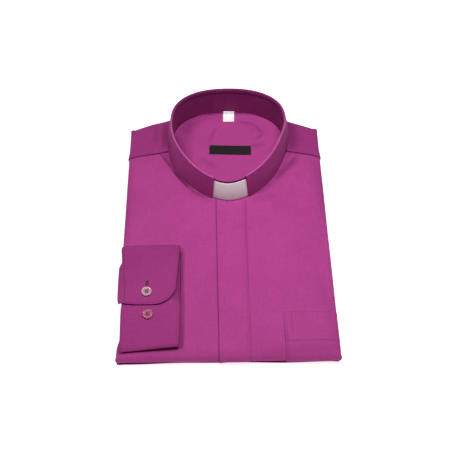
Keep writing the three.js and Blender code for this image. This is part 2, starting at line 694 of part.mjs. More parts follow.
add('folded_layers', foldedLayers(), cloth(COLOURS.shade));
add('front_right', frontPanel(firstColumn, FRONT_EDGE - GAP / 2), cloth(COLOURS.cloth));
add('front_left', frontPanel(FRONT_EDGE + GAP / 2, lastColumn), cloth(COLOURS.cloth));
add('yoke', yoke(), cloth(COLOURS.shade));
add('fly_placket', placket(), cloth(COLOURS.cloth));
add('pocket', pocket(), cloth(COLOURS.cloth));
add('collar_stand', standWall(0), cloth(COLOURS.collar));
add('collar_leaf', leafWall(), cloth(COLOURS.collar));
add('collar_tab', tabWall(), smoothPlastic(COLOURS.tab));
add('cuff', cuff(), cloth(COLOURS.cloth));
add('sleeve_right', sleeve(), cloth(COLOURS.cloth));
for (const one of BUTTONS) {
  add(one.name, button(one), smoothPlastic(one.colour));
}
add('size_tag', sizeTag(), cloth(COLOURS.tag));
add('neck_label', neckLabel(), cloth(COLOURS.label));

export default group;
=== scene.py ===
# %% [markdown]
# # A clergy shirt, buttoned and folded flat
#
# The shirt lies on its back with its collar standing up and one cuff brought round onto the
# front.

# %% Load the frame
import math

import bpy
import numpy as np
from mathutils import Matrix, Vector


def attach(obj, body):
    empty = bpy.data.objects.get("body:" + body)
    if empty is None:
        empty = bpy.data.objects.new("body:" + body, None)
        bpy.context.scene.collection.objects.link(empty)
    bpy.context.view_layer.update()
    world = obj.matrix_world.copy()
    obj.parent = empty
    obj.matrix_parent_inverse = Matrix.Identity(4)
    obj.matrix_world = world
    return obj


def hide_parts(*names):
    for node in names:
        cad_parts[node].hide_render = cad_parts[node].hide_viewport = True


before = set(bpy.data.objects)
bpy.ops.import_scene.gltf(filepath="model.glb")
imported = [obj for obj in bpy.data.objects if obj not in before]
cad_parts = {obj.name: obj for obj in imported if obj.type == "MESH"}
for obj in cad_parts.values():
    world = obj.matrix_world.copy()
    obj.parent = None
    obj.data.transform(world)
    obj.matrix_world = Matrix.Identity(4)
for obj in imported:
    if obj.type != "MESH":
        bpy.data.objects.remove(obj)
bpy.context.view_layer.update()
MM = 0.001               # sizes below are in millimetres unless they say otherwise
print("frame:", len(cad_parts), "nodes")


# %% [markdown]
# ## The view
#
# The shirt is seen from above its bottom fold, looking steeply down. A camera matrix has the
# view's right, its up and the way back as its columns. Yaw, pitch and roll give those three
# directions, and the lens follows from the focal length as a share of the frame's width.

# %% Camera
CAMERA_PLACE = (-13.13, -455.35, 750.16)
CAMERA_PITCH = math.radians(58.0)
CAMERA_YAW = 0.0359138
CAMERA_ROLL = 0.0206949
FRAME_PIXELS, FOCAL_PIXELS = 458, 709.88
SENSOR_WIDTH = 36.0
CLIP_END = 20.0                # metres


def camera_axes(yaw, pitch, roll):
    """Right, up and back: forward is (sin yaw cos pitch, cos yaw cos pitch, -sin pitch), and
    right and up turn about it by roll."""
    level = math.cos(pitch)
    forward = np.array([math.sin(yaw) * level, math.cos(yaw) * level, -math.sin(pitch)])
    right = np.array([math.cos(yaw), -math.sin(yaw), 0.0])
    up = np.cross(right, forward)
    turned = math.cos(roll) * right + math.sin(roll) * up
    raised = -math.sin(roll) * right + math.cos(roll) * up
    return turned, raised, -forward


def add_object(name, data):
    """A new object in the scene that shows a mesh, a lamp or a camera."""
    item = bpy.data.objects.new(name, data)
    bpy.context.scene.collection.objects.link(item)
    return item


camera_data = bpy.data.cameras.new("view")
camera_data.sensor_width = SENSOR_WIDTH
camera_data.lens = FOCAL_PIXELS / FRAME_PIXELS * SENSOR_WIDTH
camera_data.clip_end = CLIP_END
camera = add_object("view", camera_data)
axes = np.array(camera_axes(CAMERA_YAW, CAMERA_PITCH, CAMERA_ROLL)).T
rows = [[*row, place * MM] for row, place in zip(axes, CAMERA_PLACE)]
camera.matrix_world = Matrix(rows + [[0, 0, 0, 1]])
bpy.context.scene.camera = camera
print("camera lens", round(camera_data.lens, 2), "mm")

# %% [markdown]
# ## Floor and light
#
# Folded shirts are shown under a soft box overhead, with little light from the front: flat
# cloth is bright, and the collar's face is in shade. A square lamp hangs close above the shirt;
# a larger, more distant one stands to the left and gives the shadows their direction; a dim
# even sky fills them. The floor is plain and nearly white.

# %% Studio
FLOOR_HALF, FLOOR_DROP = 3.0, 0.0002     # metres; it lies just under the shirt
FLOOR_COLOUR, FLOOR_GLOW = (0.78, 0.78, 0.79, 1), 0.82
WHITE = (1, 1, 1, 1)
SKY = 0.05
LAMPS = (
    # name, place and side in metres, watts
    ("soft_box", (0.07, -0.01, 0.6), 0.3, 2.5),
    ("flash", (-1.35, 0.25, 2.8), 0.8, 26.0),
)


def make_floor():
    """One square just under the shirt's flat underside."""
    mesh = bpy.data.meshes.new("floor")
    corners = [(x * FLOOR_HALF, y * FLOOR_HALF, -FLOOR_DROP) for x, y in ((-1, -1), (1, -1), (1, 1), (-1, 1))]
    mesh.from_pydata(corners, [], [(0, 1, 2, 3)])
    material = bpy.data.materials.new("pale_floor")
    material.use_nodes = True
    shader = material.node_tree.nodes["Principled BSDF"]
    shader.inputs["Base Color"].default_value = FLOOR_COLOUR
    shader.inputs["Roughness"].default_value = 0.9
    shader.inputs["Emission Color"].default_value = WHITE
    shader.inputs["Emission Strength"].default_value = FLOOR_GLOW
    mesh.materials.append(material)
    add_object("floor", mesh)


def make_lights():
    """Square lamps, each turned to face the shirt, and an even sky."""
    for name, place, side, watts in LAMPS:
        data = bpy.data.lights.new(name, "AREA")
        data.shape = "SQUARE"
        data.size = side
        data.energy = watts
        lamp = add_object(name, data)
        lamp.location = place
        lamp.rotation_euler = (-Vector(place)).to_track_quat("-Z", "Y").to_euler()
    world = bpy.data.worlds.new("sky")
    world.use_nodes = True
    background = world.node_tree.nodes["Background"]
    background.inputs["Color"].default_value = WHITE
    background.inputs["Strength"].default_value = SKY
    bpy.context.scene.world = world


make_floor()
make_lights()
bpy.context.scene.view_settings.view_transform = "Standard"
print("floor and lights made")

# %% [markdown]
# ## Cloth as grids
#
# Each piece of cloth is a thin closed shell: a grid of outer points, the same grid moved in by
# the cloth's thickness, and strips that join the two round the edges. Whole arrays are worked
# out at once. A second grid of flat cloth places, in millimetres, becomes the piece's UV map,
# so that the weave follows the cloth round every fold.

# %% Shell maker
SHARP_EDGE = math.radians(50)


def shell_arrays(outer, inner, flat, ring=False):
    """Points, quads and corner UVs of a closed shell. Outer quads run with the grid, inner ones
    against it, and each open edge gets a strip from outer to inner. A ring joins its last row
    to its first, and so has no strips there."""
    rows, columns = outer.shape[:2]
    half = rows * columns
    points = np.concatenate([outer.reshape(-1, 3), inner.reshape(-1, 3)])
    if ring:
        flat = np.concatenate([flat, (2 * flat[-1] - flat[-2])[None]])
    i, j = np.arange(rows if ring else rows - 1), np.arange(columns - 1)
    row, column = (v.ravel() for v in np.meshgrid(i, j, indexing="ij"))
    row = np.stack([row, row + 1, row + 1, row], 1)
    column = np.stack([column, column, column + 1, column + 1], 1)

    def index(r, c):
        """The number of an outer point."""
        return (r % rows) * columns + c

    quads = [index(row, column), half + index(row, column)[:, ::-1]]
    uvs = [flat[row, column], flat[row, column][:, ::-1]]
    strips = [(i, i + 1, c, c, c > 0) for c in (0, columns - 1)]
    if not ring:
        strips += [(r, r, j, j + 1, r == 0) for r in (0, rows - 1)]
    for r0, r1, c0, c1, turned in strips:
        near, far = index(r0, c0), index(r1, c1)
        side = np.stack([near, half + near, half + far, far], 1)
        uv = np.stack([flat[r0, c0], flat[r0, c0], flat[r1, c1], flat[r1, c1]], 1)
        quads.append(side[:, ::-1] if turned else side)
        uvs.append(uv[:, ::-1] if turned else uv)
    quads, uvs = np.concatenate(quads), np.concatenate(uvs)
    if signed_volume(points, quads) < 0:
        quads, uvs = quads[:, ::-1], uvs[:, ::-1]
    return points, quads, uvs


def signed_volume(points, quads):
    """Sum of the tetrahedra from the origin to each triangle: positive if faces point out."""
    total = 0.0
    for a, b, c in ((0, 1, 2), (0, 2, 3)):
        pa, pb, pc = points[quads[:, a]], points[quads[:, b]], points[quads[:, c]]
        total += np.einsum("ij,ij->i", pa, np.cross(pb, pc)).sum()
    return total


def make_piece(name, parts, *materials):
    """A mesh object from a list of (points, quads, uvs) in millimetres; each part has its own
    material, or the last one given."""
    points, quads, uvs, finish, start = [], [], [], [], 0
    for k, (p, q, uv) in enumerate(parts):
        points.append(p)
        quads.append(q + start)
        uvs.append(uv)
        finish.append(np.full(len(q), min(k, len(materials) - 1), dtype=np.int32))
        start += len(p)
    points, quads, uvs = np.concatenate(points) * MM, np.concatenate(quads), np.concatenate(uvs)
    mesh = bpy.data.meshes.new(name)
    mesh.vertices.add(len(points))
    mesh.vertices.foreach_set("co", points.astype(np.float32).ravel())
    mesh.loops.add(quads.size)
    mesh.loops.foreach_set("vertex_index", quads.astype(np.int32).ravel())
    mesh.polygons.add(len(quads))
    mesh.polygons.foreach_set("loop_start", np.arange(0, quads.size, 4, dtype=np.int32))
    mesh.uv_layers.new(name="cloth").data.foreach_set("uv", (uvs * MM).astype(np.float32).ravel())
    for material in materials:
        mesh.materials.append(material)
    mesh.polygons.foreach_set("material_index", np.concatenate(finish))
    mesh.update(calc_edges=True)
    mesh.validate()
    mesh.shade_smooth()
    mesh.set_sharp_from_angle(angle=SHARP_EDGE)
    print(name, len(quads), "faces")
    return add_object(name, mesh)


def mark(piece, key, *parts):
    """An attribute from 0 to 1 of each part's outer points, and the same on its inner ones."""
    both = np.concatenate([np.tile(np.clip(values, 0, 1).ravel(), 2) for values in parts])
    data = np.zeros(len(piece.data.vertices), dtype=np.float32)
    data[:both.size] = both
    piece.data.attributes.new(key, "FLOAT", "POINT").data.foreach_set("value", data)


def settle(piece, node):
    """The piece rides on the shirt and stands in for its solid, which is hidden."""
    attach(piece, "root")
    if node:
        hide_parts(node)
    return piece


# %% [markdown]
# ## Soft steps and bells
#
# The same few formulas shape every piece: a soft step, a blend, a bell, and the round of a
# turned edge. Two more measure the run along a line or along every row of a grid.

# %% Formulas
def smooth(x, low, high):
    """0 below low, 1 above high, and 3t² - 2t³ between."""
    t = np.clip((x - low) / (high - low), 0, 1)
    return t * t * (3 - 2 * t)


def blend(a, b, t):
    """a at t = 0, b at t = 1."""
    return a + (b - a) * t


def bell(distance, width):
    """exp(-(distance / width)²): 1 in the middle and almost nothing two widths away."""
    return np.exp(-(distance / width) ** 2)


def edge_round(distance, radius=0.6):
    """Share of the full thickness at a distance from a turned edge: a quarter circle."""
    d = np.clip(distance / radius, 0, 1)
    return 0.25 + 0.75 * np.sqrt(1 - (1 - d) ** 2)


def edge_places(low, high, step, radius=0.6):
    """Places from low to high about a step apart, with a few close to each end for its round."""
    ends = np.array([0, 0.12, 0.35, 0.7, 1.0]) * radius
    count = max(2, int(round((high - low - 2 * radius) / step)) + 1)
    middle = np.linspace(low + radius, high - radius, count)
    return np.concatenate([low + ends[:-1], middle, high - ends[:-1][::-1]])


def run_along(line):
    """The distance of each of a line's points from its first, along it."""
    return np.concatenate([[0], np.cumsum(np.linalg.norm(np.diff(line, axis=0), axis=1))])


def run_across(u, v):
    """The same along every row of a grid, given by two coordinates."""
    steps = np.hypot(np.diff(u, axis=1), np.diff(v, axis=1))
    return np.concatenate([np.zeros((len(u), 1)), np.cumsum(steps, 1)], 1)


# %% [markdown]
# ## Shirting
#
# The cloth is a plain-woven cotton blend dyed a strong red-purple. Its weave is far finer than
# a shirt's width, so it is a small bump and a slight change of colour rather than geometry.
# Two waves, one along the warp and one along the weft, make the over-and-under of the threads;
# long thin noise makes slubs; and a broad noise makes the faint unevenness of pressed cloth.
# A little sheen gives the bloom that fibres have at a low angle.

# %% Shirting material
THREADS_PER_METRE = 3600.0
SLUB_STRETCHES = ((700, 90, 1), (90, 700, 1))
PATCHES_PER_METRE = 22.0
# The darkest painted shade, where a crease or gap lies in shade, as a share of the cloth's darker colour.
PAINTED_SHADE_DARKEST = 0.32                 # colour at the bottom of a pressed crease, as a share of the cloth's
SHADE_RANGE = (0.56, 0.94)     # slubs and patches together, from the darker colour to the lighter
WEAVE_DEPTH, SLUB_DEPTH = 0.00012, 1.6           # metres, and in weaves


class Nodes:
    """Short names for adding and joining the nodes of one material."""

    def __init__(self, name):
        """A new material with the usual nodes."""
        self.material = bpy.data.materials.new(name)
        self.material.use_nodes = True
        self.tree = self.material.node_tree
        self.shader = self.tree.nodes["Principled BSDF"]

    def put(self, socket, value):
        """Joins a socket to an output, or sets it to a plain value."""
        if isinstance(value, bpy.types.NodeSocket):
            self.tree.links.new(value, socket)
        else:
            socket.default_value = value

    def add(self, kind, inputs=(), **settings):
        """A node of a kind, with settings, whose inputs are put by name or number."""
        node = self.tree.nodes.new(kind)
        for key, value in settings.items():
            setattr(node, key, value)
        for key, value in dict(inputs).items():
            self.put(node.inputs[key], value)
        return node

    def cloth_uv(self):
        """Flat cloth places, in metres."""
        return self.add("ShaderNodeUVMap", uv_map="cloth").outputs[0]

    def maths(self, operation, a, b=0.0):
        """One sum of two values."""
        return self.add("ShaderNodeMath", {0: a, 1: b}, operation=operation).outputs[0]

    def wave(self, value, turns):
        """Sine of so many turns to each metre."""
        return self.maths("SINE", self.maths("MULTIPLY", value, 2 * math.pi * turns))

    def noise(self, vector, scale, stretch=(1, 1, 1), detail=2.0, distortion=0.0):
        """Noise in stretched coordinates, from 0 to 1."""
        mapped = self.add("ShaderNodeMapping", {"Vector": vector, "Scale": stretch}).outputs[0]
        inputs = {"Vector": mapped, "Scale": scale, "Detail": detail, "Distortion": distortion}
        return self.add("ShaderNodeTexNoise", inputs).outputs[0]

    def ramp(self, value, low, high):
        """0 at low, 1 at high, and straight between."""
        return self.add("ShaderNodeMapRange", {"Value": value, "From Min": low, "From Max": high}).outputs[0]

    def mix(self, share, a, b):
        """Colour a at 0, colour b at 1."""
        colours = {0: share, 6: colour_socket(a), 7: colour_socket(b)}
        return self.add("ShaderNodeMix", colours, data_type="RGBA").outputs[2]

    def into(self, **sockets):
        """Puts the shader's own sockets, named with _ for a space."""
        for name, value in sockets.items():
            self.put(self.shader.inputs[name.replace("_", " ")], value)

    def bump(self, height, strength, distance):
        """A bump of the whole surface; the distance is in metres."""
        inputs = {"Strength": strength, "Distance": distance, "Height": height}
        self.into(Normal=self.add("ShaderNodeBump", inputs).outputs[0])


def colour_socket(value):
    """A colour of three numbers gets its fourth; anything else stays as it is."""
    return (*value, 1) if isinstance(value, tuple) else value


def darker(colour, share):
    """A colour with each part multiplied by a share."""
    return tuple(c * share for c in colour)


def shirting(name, dark, light, bump=0.12, painted_highlight=None):
    """Woven cloth between two near colours. Plain weave is warp and weft waves multiplied, so
    that each crossing stands up or dips; long thin noise makes slubs. Where the piece's own
    attributes ask for it, a painted highlight makes the colour paler and painted shade darker."""
    nodes = Nodes(name)
    uv = nodes.cloth_uv()
    slubs = [nodes.maths("MULTIPLY", nodes.noise(uv, 1.0, stretch), 0.5) for stretch in SLUB_STRETCHES]
    slubs = nodes.maths("ADD", *slubs)
    patchy = nodes.maths("MULTIPLY", nodes.noise(uv, PATCHES_PER_METRE, detail=4.0), 0.5)
    colour = nodes.mix(nodes.ramp(nodes.maths("ADD", slubs, patchy), *SHADE_RANGE), dark, light)
    # Painted light: one attribute mixes in a paler colour as a painted highlight, the other a darker one as
    # painted shade.
    for key, painted_colour in (("painted_highlight", painted_highlight), ("painted_shade", darker(dark, PAINTED_SHADE_DARKEST))):
        if painted_colour:
            amount = nodes.add("ShaderNodeAttribute", attribute_name=key).outputs["Fac"]
            colour = nodes.mix(amount, colour, painted_colour)
    parts = nodes.add("ShaderNodeSeparateXYZ", {"Vector": uv}).outputs
    weave = nodes.maths("MULTIPLY", *(nodes.wave(parts[k], THREADS_PER_METRE / 2) for k in (0, 1)))
    nodes.bump(nodes.maths("ADD", weave, nodes.maths("MULTIPLY", slubs, SLUB_DEPTH)), bump, WEAVE_DEPTH)
    nodes.into(Base_Color=colour, Roughness=0.78, Specular_IOR_Level=0.12)
    nodes.into(Sheen_Weight=0.05, Sheen_Roughness=0.45, Sheen_Tint=(0.95, 0.55, 0.85, 1))
    return nodes.material


body_cloth = shirting("purple_shirting", (0.435, 0.050, 0.254), (0.505, 0.064, 0.301))
# The next four are the same shirting made darker, as painted shade: the doubled copy for the yoke's shoulders
# and the cuff, the fused one for the collar's leaf, the band copy, darkest, for the stand, and the folded one
# for the hidden layers' edges. The fused copy also takes a painted highlight along the roll.
doubled_shaded_cloth = shirting("doubled_shaded_shirting", (0.345, 0.036, 0.202), (0.405, 0.046, 0.24), bump=0.10)
collar_shaded_cloth = shirting("fused_shaded_shirting", (0.31, 0.030, 0.18), (0.385, 0.041, 0.23), bump=0.08,
                        painted_highlight=(0.56, 0.105, 0.36))
band_shaded_cloth = shirting("band_shaded_shirting", (0.235, 0.022, 0.137), (0.295, 0.029, 0.172), bump=0.08)
hidden_shaded_cloth = shirting("folded_shaded_shirting", (0.34, 0.035, 0.20), (0.44, 0.050, 0.26))
print("shirting made")

# %% [markdown]
# ## The body's surface
#
# The fronts, the placket, the pocket and the yoke all lie on one surface. Flat in the middle,
# it rises to the foot of the collar and rolls over the side, bottom and shoulder folds. A
# place (a, b) is measured on the cloth laid flat; past the start of a fold the same distance
# is wound round the fold's radius, and in a corner it fans round.

# %% Body surface
FOLD_RADIUS = 5.6
EDGE_TOP = 14.0                # height of the top cloth along the side folds
CROWN = 1.6                    # how much higher it lies in the middle
RISE, RISE_REACH = 4.6, 46.0   # it rises by this much towards the collar, over this distance
SLACK = 3.5                    # how far the left side draws in below the cuff
GAP = 0.3                      # between a piece and the next one under it
WRAP_END = math.radians(150) * FOLD_RADIUS       # how far a panel goes round a fold
LAID_WRAP = math.radians(118) * FOLD_RADIUS      # and a piece laid on a panel
CORNER_POINT = 0.34            # how much further the cloth reaches out at a corner
BODY_WIDTH, BODY_LENGTH = 250.0, 328.0
SHOULDER_FOLD = np.array([
    (-125, 162), (-100, 172), (-76, 179), (-46, 190), (5, 196),
    (56, 190), (86, 177), (106, 169.5), (125, 162),
], float)
SEAM_MIDDLE, SEAM_DROP, SEAM_SIDE, SEAM_POWER = 121.8, 9.5, 124.0, 8
SEAM_SAG, SEAM_SAG_AT, SEAM_SAG_REACH = 2.9, 94.0, 20.0
INNER_X = BODY_WIDTH / 2 - FOLD_RADIUS
INNER_Y = BODY_LENGTH / 2 - FOLD_RADIUS


def through_points(places, per_span=20):
    """A smooth line through places: on each span a cubic whose slopes come from the neighbours."""
    ends = np.vstack([2 * places[0] - places[1], places, 2 * places[-1] - places[-2]])
    t = np.linspace(0, 1, per_span, endpoint=False)[:, None]
    before, start, end, after = (ends[k:len(ends) - 3 + k, None] for k in range(4))
    line = 0.5 * (2 * start + (end - before) * t + (2 * before - 5 * start + 4 * end - after) * t ** 2
                  + (3 * start - before - 3 * end + after) * t ** 3)
    return np.vstack([line.reshape(-1, 2), places[-1]])


shoulder_line = through_points(SHOULDER_FOLD)


def shoulder_start(x):
    """Height up the body, along Y, at which the cloth starts to turn over the shoulder fold."""
    return np.interp(x, shoulder_line[:, 0], shoulder_line[:, 1]) - FOLD_RADIUS


def yoke_seam(x):
    """Where the yoke is sewn to the fronts: nearly straight, dropping at the side folds, with a
    little sag half way from the collar to each side."""
    sag = SEAM_SAG * bell(np.abs(x) - SEAM_SAG_AT, SEAM_SAG_REACH)
    return SEAM_MIDDLE - SEAM_DROP * (np.abs(x) / SEAM_SIDE) ** SEAM_POWER - sag


# %% [markdown]
# ## The neck line
#
# The collar's rim is an egg: half a pointed ellipse in front, half a rounder one behind. Its
# section changes round the neck. In front the band leans back and its rim is rolled tightly;
# behind it stands straight with a wide soft roll. Three rows of sizes, for front, side and
# back, are blended by how far forward a place faces.

# %% Neck line
NECK_CENTRE = np.array([4.8, 148.0])
NECK_SIDE, NECK_FRONT, NECK_BACK = 75.3, 101.0, 53.3      # from the centre to the rim
FRONT_POWER, BACK_POWER = 1.7, 2.3                         # 2 is an ellipse; less is more pointed
RIM_TOP = 52.0
COLLAR_WALL = 1.3
STAND_DROP = 3.4               # the stand ends this far below the middle of the roll
# Front, side and back: how far the leaf's foot is out from the rim, and the stand's foot in
# from it, and how wide the roll is.
SECTION = {"lean": (9.0, 5.0, 0.5), "stand_foot": (-2.1, 1.6, 5.6), "roll": (3.0, 3.0, 3.6)}
SWAY = -2.2                    # the rim stands this far to the left of the foot, in front
FLARE, FLARE_Y, FLARE_REACH = 5.0, 99.0, 24.0    # the leaf's foot stands out by this at its left
BLUNT = 0.09                   # keeps the egg's tips from being points
SLOPE_SPAN = 1.5               # a station's direction is taken this far to both sides


def neck_radius(angle):
    """From the neck's centre to the rim, where (across/side)^n + (along/length)^n = 1."""
    across = np.hypot(np.cos(angle), BLUNT) / NECK_SIDE
    along = np.hypot(np.sin(angle), BLUNT) / np.where(np.sin(angle) > 0, NECK_BACK, NECK_FRONT)
    power = blend(FRONT_POWER, BACK_POWER, smooth(np.sin(angle), -0.35, 0.35))
    return (across ** power + along ** power) ** (-1 / power)


def neck_line():
    """The rim's points from the front centre, first towards +X, and the run along it."""
    angle = np.radians(np.arange(0, 721) / 2 - 90)
    radius = neck_radius(angle)
    line = NECK_CENTRE + np.stack([radius * np.cos(angle), radius * np.sin(angle)], 1)
    return line, run_along(line)


rim_line, rim_run = neck_line()
NECK_LENGTH = rim_run[-1]
print("neck line", round(NECK_LENGTH), "mm")


def on_line(at, run, line):
    """Places along a line of points on the plan."""
    return np.stack([np.interp(at, run, line[:, k]) for k in (0, 1)], -1)


def station(run):
    """At a distance round the rim: the point, the way in, and the section's sizes there."""
    point, ahead, behind = (
        on_line(np.mod(run + step, NECK_LENGTH), rim_run, rim_line) for step in (0, SLOPE_SPAN, -SLOPE_SPAN)
    )
    along = ahead - behind
    along /= np.linalg.norm(along, axis=-1, keepdims=True)
    inward = np.stack([-along[..., 1], along[..., 0]], -1)
    facing = -(point[..., 1] - NECK_CENTRE[1]) / np.linalg.norm(point - NECK_CENTRE, axis=-1)
    front, back = np.maximum(0, facing) ** 2, np.maximum(0, -facing) ** 2
    sizes = {key: f * front + s * (1 - front - back) + b * back for key, (f, s, b) in SECTION.items()}
    flare = FLARE * bell(point[..., 1] - FLARE_Y, FLARE_REACH)
    sizes["lean"] = sizes["lean"] + flare * (point[..., 0] < 0)
    return point, inward, sizes


def stations(run):
    """The same as columns, one for each row of a grid."""
    point, inward, sizes = station(run)
    return point[:, None], inward[:, None], {key: value[:, None] for key, value in sizes.items()}


def on_section(point, inward, into, height):
    """A point of the section: so far in from the rim line, at a height. In front the upper part
    sways to the left."""
    plan = point + inward * np.asarray(into)[..., None]
    raised = np.clip((height - EDGE_TOP) / (RIM_TOP - EDGE_TOP), 0, 1) * np.ones(plan.shape[:-1])
    plan[..., 0] += SWAY * raised * smooth(NECK_CENTRE[1] - plan[..., 1], -5, 35)
    return np.concatenate([plan, np.broadcast_to(height, plan.shape[:-1])[..., None]], -1)


def leaf_face(sizes, height):
    """How far in the leaf's outer face is at a height: straight from its foot to the roll."""
    top = RIM_TOP - sizes["roll"] / 2
    share = np.clip((top - height) / (top - EDGE_TOP - RISE), 0, 1.2)
    return -sizes["lean"] * share


# %% [markdown]
# ## Creases and swells
#
# Pressed cloth is never quite flat. Each crease is a soft trough or ridge along a short line:
# its height falls off as a bell across the line and fades at both ends. They are listed one by one,
# each of its own length, width and depth, where the collar pulls on the fronts, where the
# cuff presses and along the folds.

# %% Creases
CREASES = np.array([
    # x0,  y0,   x1,   y1, width, height
    (-86, 112, -70, 82, 4.0, -0.30),
    (94, 114, 80, 84, 4.5, -0.35),
    (-98, 96, -92, 40, 11.0, 0.45),
    (104, 92, 98, 30, 12.0, 0.40),
    (-60, 30, -24, 8, 9.0, -0.25),
    (52, 34, 92, -4, 11.0, -0.30),
    (38, -40, 44, -96, 9.0, -0.22),
    (70, -60, 116, -74, 7.0, -0.28),
    (58, -96, 60, -154, 5.0, -0.25),
    (-48, -70, -46, -150, 5.0, 0.25),
    (-30, -130, 0, -150, 8.0, -0.20),
    (-112, 140, -82, 150, 7.0, -0.35),
    (92, 150, 118, 141, 7.0, -0.35),
    (-120, 60, -118, 0, 4.0, -0.30),
    (120, 40, 117, -60, 4.5, -0.30),
    (-85, 121, -60, 80, 1.7, -1.9),
    (-64, 85, -51, 66, 1.7, -1.2),
    (-94, 112, -70, 74, 5.0, 0.3),
    (97, 114, 63, 76, 4.0, -2.1),
    (108, 108, 80, 74, 6.0, 0.4),
], float)
# Painted shade on the body's cloth: dark lines along the creases beside the collar, broader shade beside the
# collar's foot, along the folds and along the hem.
SHADES = np.array([
    # x0,  y0,   x1,   y1, width, strength of painted shade
    (-85, 121, -60, 80, 1.2, 0.7),
    (-64, 87, -46, 62, 1.7, 0.8),
    (-80, 122, -58, 82, 5.0, 0.42),
    (-61, 82, -40, 59, 2.8, 0.45),
    (-44, 60, -24, 47, 2.2, 0.50),
    (60, 70, 40, 53, 3.0, 0.35),
    (97, 114, 63, 76, 4.2, 0.42),
    (-80, 170, -80, 126, 3.0, 0.35),
    (-92, 172, -90, 132, 5.0, 0.22),
    (88, 174, 90, 124, 9.0, 0.26),
    (-104, 118, -100, 104, 9.0, 0.10),
    (28, 40, 64, 52, 5.0, 0.14),
    (-50, 60, -16, 40, 4.0, 0.16),
    (118, 108, 122, 20, 7.0, 0.20),
    (-121, 108, -122, -16, 4.5, 0.20),
    (-118, -159, 40, -159, 6.0, 0.14),
    (30, -157, 124, -155, 8.0, 0.20),
    (108, -60, 122, -150, 7.0, 0.12),
], float)


def lines_sum(table, x, y):
    """Sum over a table's lines of amount · bell(distance across / width) · fade at the ends."""
    total = np.zeros(np.broadcast(x, y).shape)
    for x0, y0, x1, y1, width, amount in table:
        along = np.array([x1 - x0, y1 - y0])
        length = np.hypot(*along)
        t = ((x - x0) * along[0] + (y - y0) * along[1]) / length ** 2
        across = ((x - x0) * along[1] - (y - y0) * along[0]) / length
        fade = smooth(t, -0.15, 0.25) * (1 - smooth(t, 0.75, 1.15))
        total += amount * fade * bell(across, width)
    return total


def crease_height(x, y):
    """The creases, a slow swell all over, and the ridge and trough beside the collar."""
    total = lines_sum(CREASES, x, y)
    swell = 0.16 * np.sin(x / 23 + 1.1) * np.sin(y / 31 - 0.4) + 0.10 * np.sin(x / 11 - y / 17)
    beside_collar = smooth(y, 52, 72) * (1 - smooth(y, 112, 124))
    out = outside_neck(x, y)
    pulled = 0.5 * bell(out - 6, 3.2) - 0.9 * bell(out - 15, 5)
    return total + swell + beside_collar * pulled


def outside_neck(x, y):
    """Distance outside the leaf's foot, roughly: along the line from the neck's centre."""
    across, along = x - NECK_CENTRE[0], y - NECK_CENTRE[1]
    return np.hypot(across, along) - neck_radius(np.arctan2(along, across)) - SECTION["lean"][0]


def body_top(x, y):
    """Height of the top cloth away from the folds: edge height, crown, and rise to the collar."""
    crown = CROWN * np.maximum(0, 1 - (x / INNER_X) ** 2) * smooth(y, -INNER_Y, -INNER_Y + 60)
    crown = crown * (1 - smooth(y, 120, 175))
    near = 1 - smooth(outside_neck(x, y), 0, RISE_REACH)
    shoulder = 1 - 0.75 * smooth(y, 105, 170)
    return EDGE_TOP + crown + (RISE - CROWN / 2) * near * shoulder


def drawn_in(x, y):
    """The left side fold draws in a little below the cuff, and comes out again at the hem."""
    share = smooth(-y, 60, 112) - 0.9 * smooth(-y, 134, 152)
    return x + SLACK * share * np.clip(-x / INNER_X, 0, 1)


def past_folds(a, b):
    """For a place on the flat cloth: the nearest place between the folds, how far past it is,
    the way out there, which fans round in a corner, and how much further a corner reaches."""
    x = np.clip(a, -INNER_X, INNER_X)
    y = np.clip(b, -INNER_Y, shoulder_start(x))
    over_x, over_y = np.abs(a - x), np.abs(b - y)
    over = np.maximum(over_x, over_y)
    small = np.minimum(over_x, over_y) / np.maximum(over, 1e-9)
    fan = np.where(over_x >= over_y, small, 2 - small) * math.pi / 4
    away = np.sign(a - x) * np.cos(fan), np.sign(b - y) * np.sin(fan)
    return x, y, over, away, 1 + CORNER_POINT * np.sin(2 * fan) ** 2


def on_body(a, b, lift):
    """A point on the body from its place on the flat cloth and its distance out from the top
    cloth: the body's height inside the folds, and a turn of distance / radius round them."""
    a, b, lift = np.broadcast_arrays(*(np.asarray(v, float) for v in (a, b, lift)))
    x, y, over, away, pointed = past_folds(a, b)
    turn = over / FOLD_RADIUS
    reach = (FOLD_RADIUS + lift) * np.sin(turn) * pointed
    px, py = x + away[0] * reach, y + away[1] * reach
    wave = crease_height(px, py) * (0.35 + 0.65 * np.cos(np.minimum(turn, math.pi / 2)))
    height = body_top(x, y) - FOLD_RADIUS + (FOLD_RADIUS + lift + wave) * np.cos(turn)
    px, py = px + away[0] * wave * np.sin(turn), py + away[1] * wave * np.sin(turn)
    return np.stack([drawn_in(px, py), py, height], -1)


def body_shell(a, b, middle, half):
    """A shell over the body, half its thickness to both sides of a middle lift."""
    return shell_arrays(on_body(a, b, middle + half), on_body(a, b, middle - half), np.stack([a, b], -1))


print("body surface ready")

# %% [markdown]
# ## Fronts
#
# The two fronts are the largest pieces of cloth. Each is one grid over its cut: columns across,
# with close ones round the side fold, and rows from the bottom fold up to the yoke seam or, in
# the middle, up to the foot of the collar's band. Their last few millimetres are tucked under
# the yoke, as a seam allowance is.

# %% Fronts
CLOTH_WALL = 0.8
FRONT_EDGE = 1.0
PLACKET_LEFT, PLACKET_RIGHT, PLACKET_TOP, PLACKET_FLARE = -11.8, 26.2, 47.0, 0.008
TUCK, TUCK_DROP = 2.4, -1.9
BEYOND = 400.0                 # stands for a height that nothing reaches
# Painted shadow of the cuff on the right front, in a strip a little past the cuff's own edge.
CUFF_SHADOW_EDGE, CUFF_SHADOW_TOP, CUFF_SHADOW_FOOT = (-50.8, -49.4), (26, 31), (148, 152)


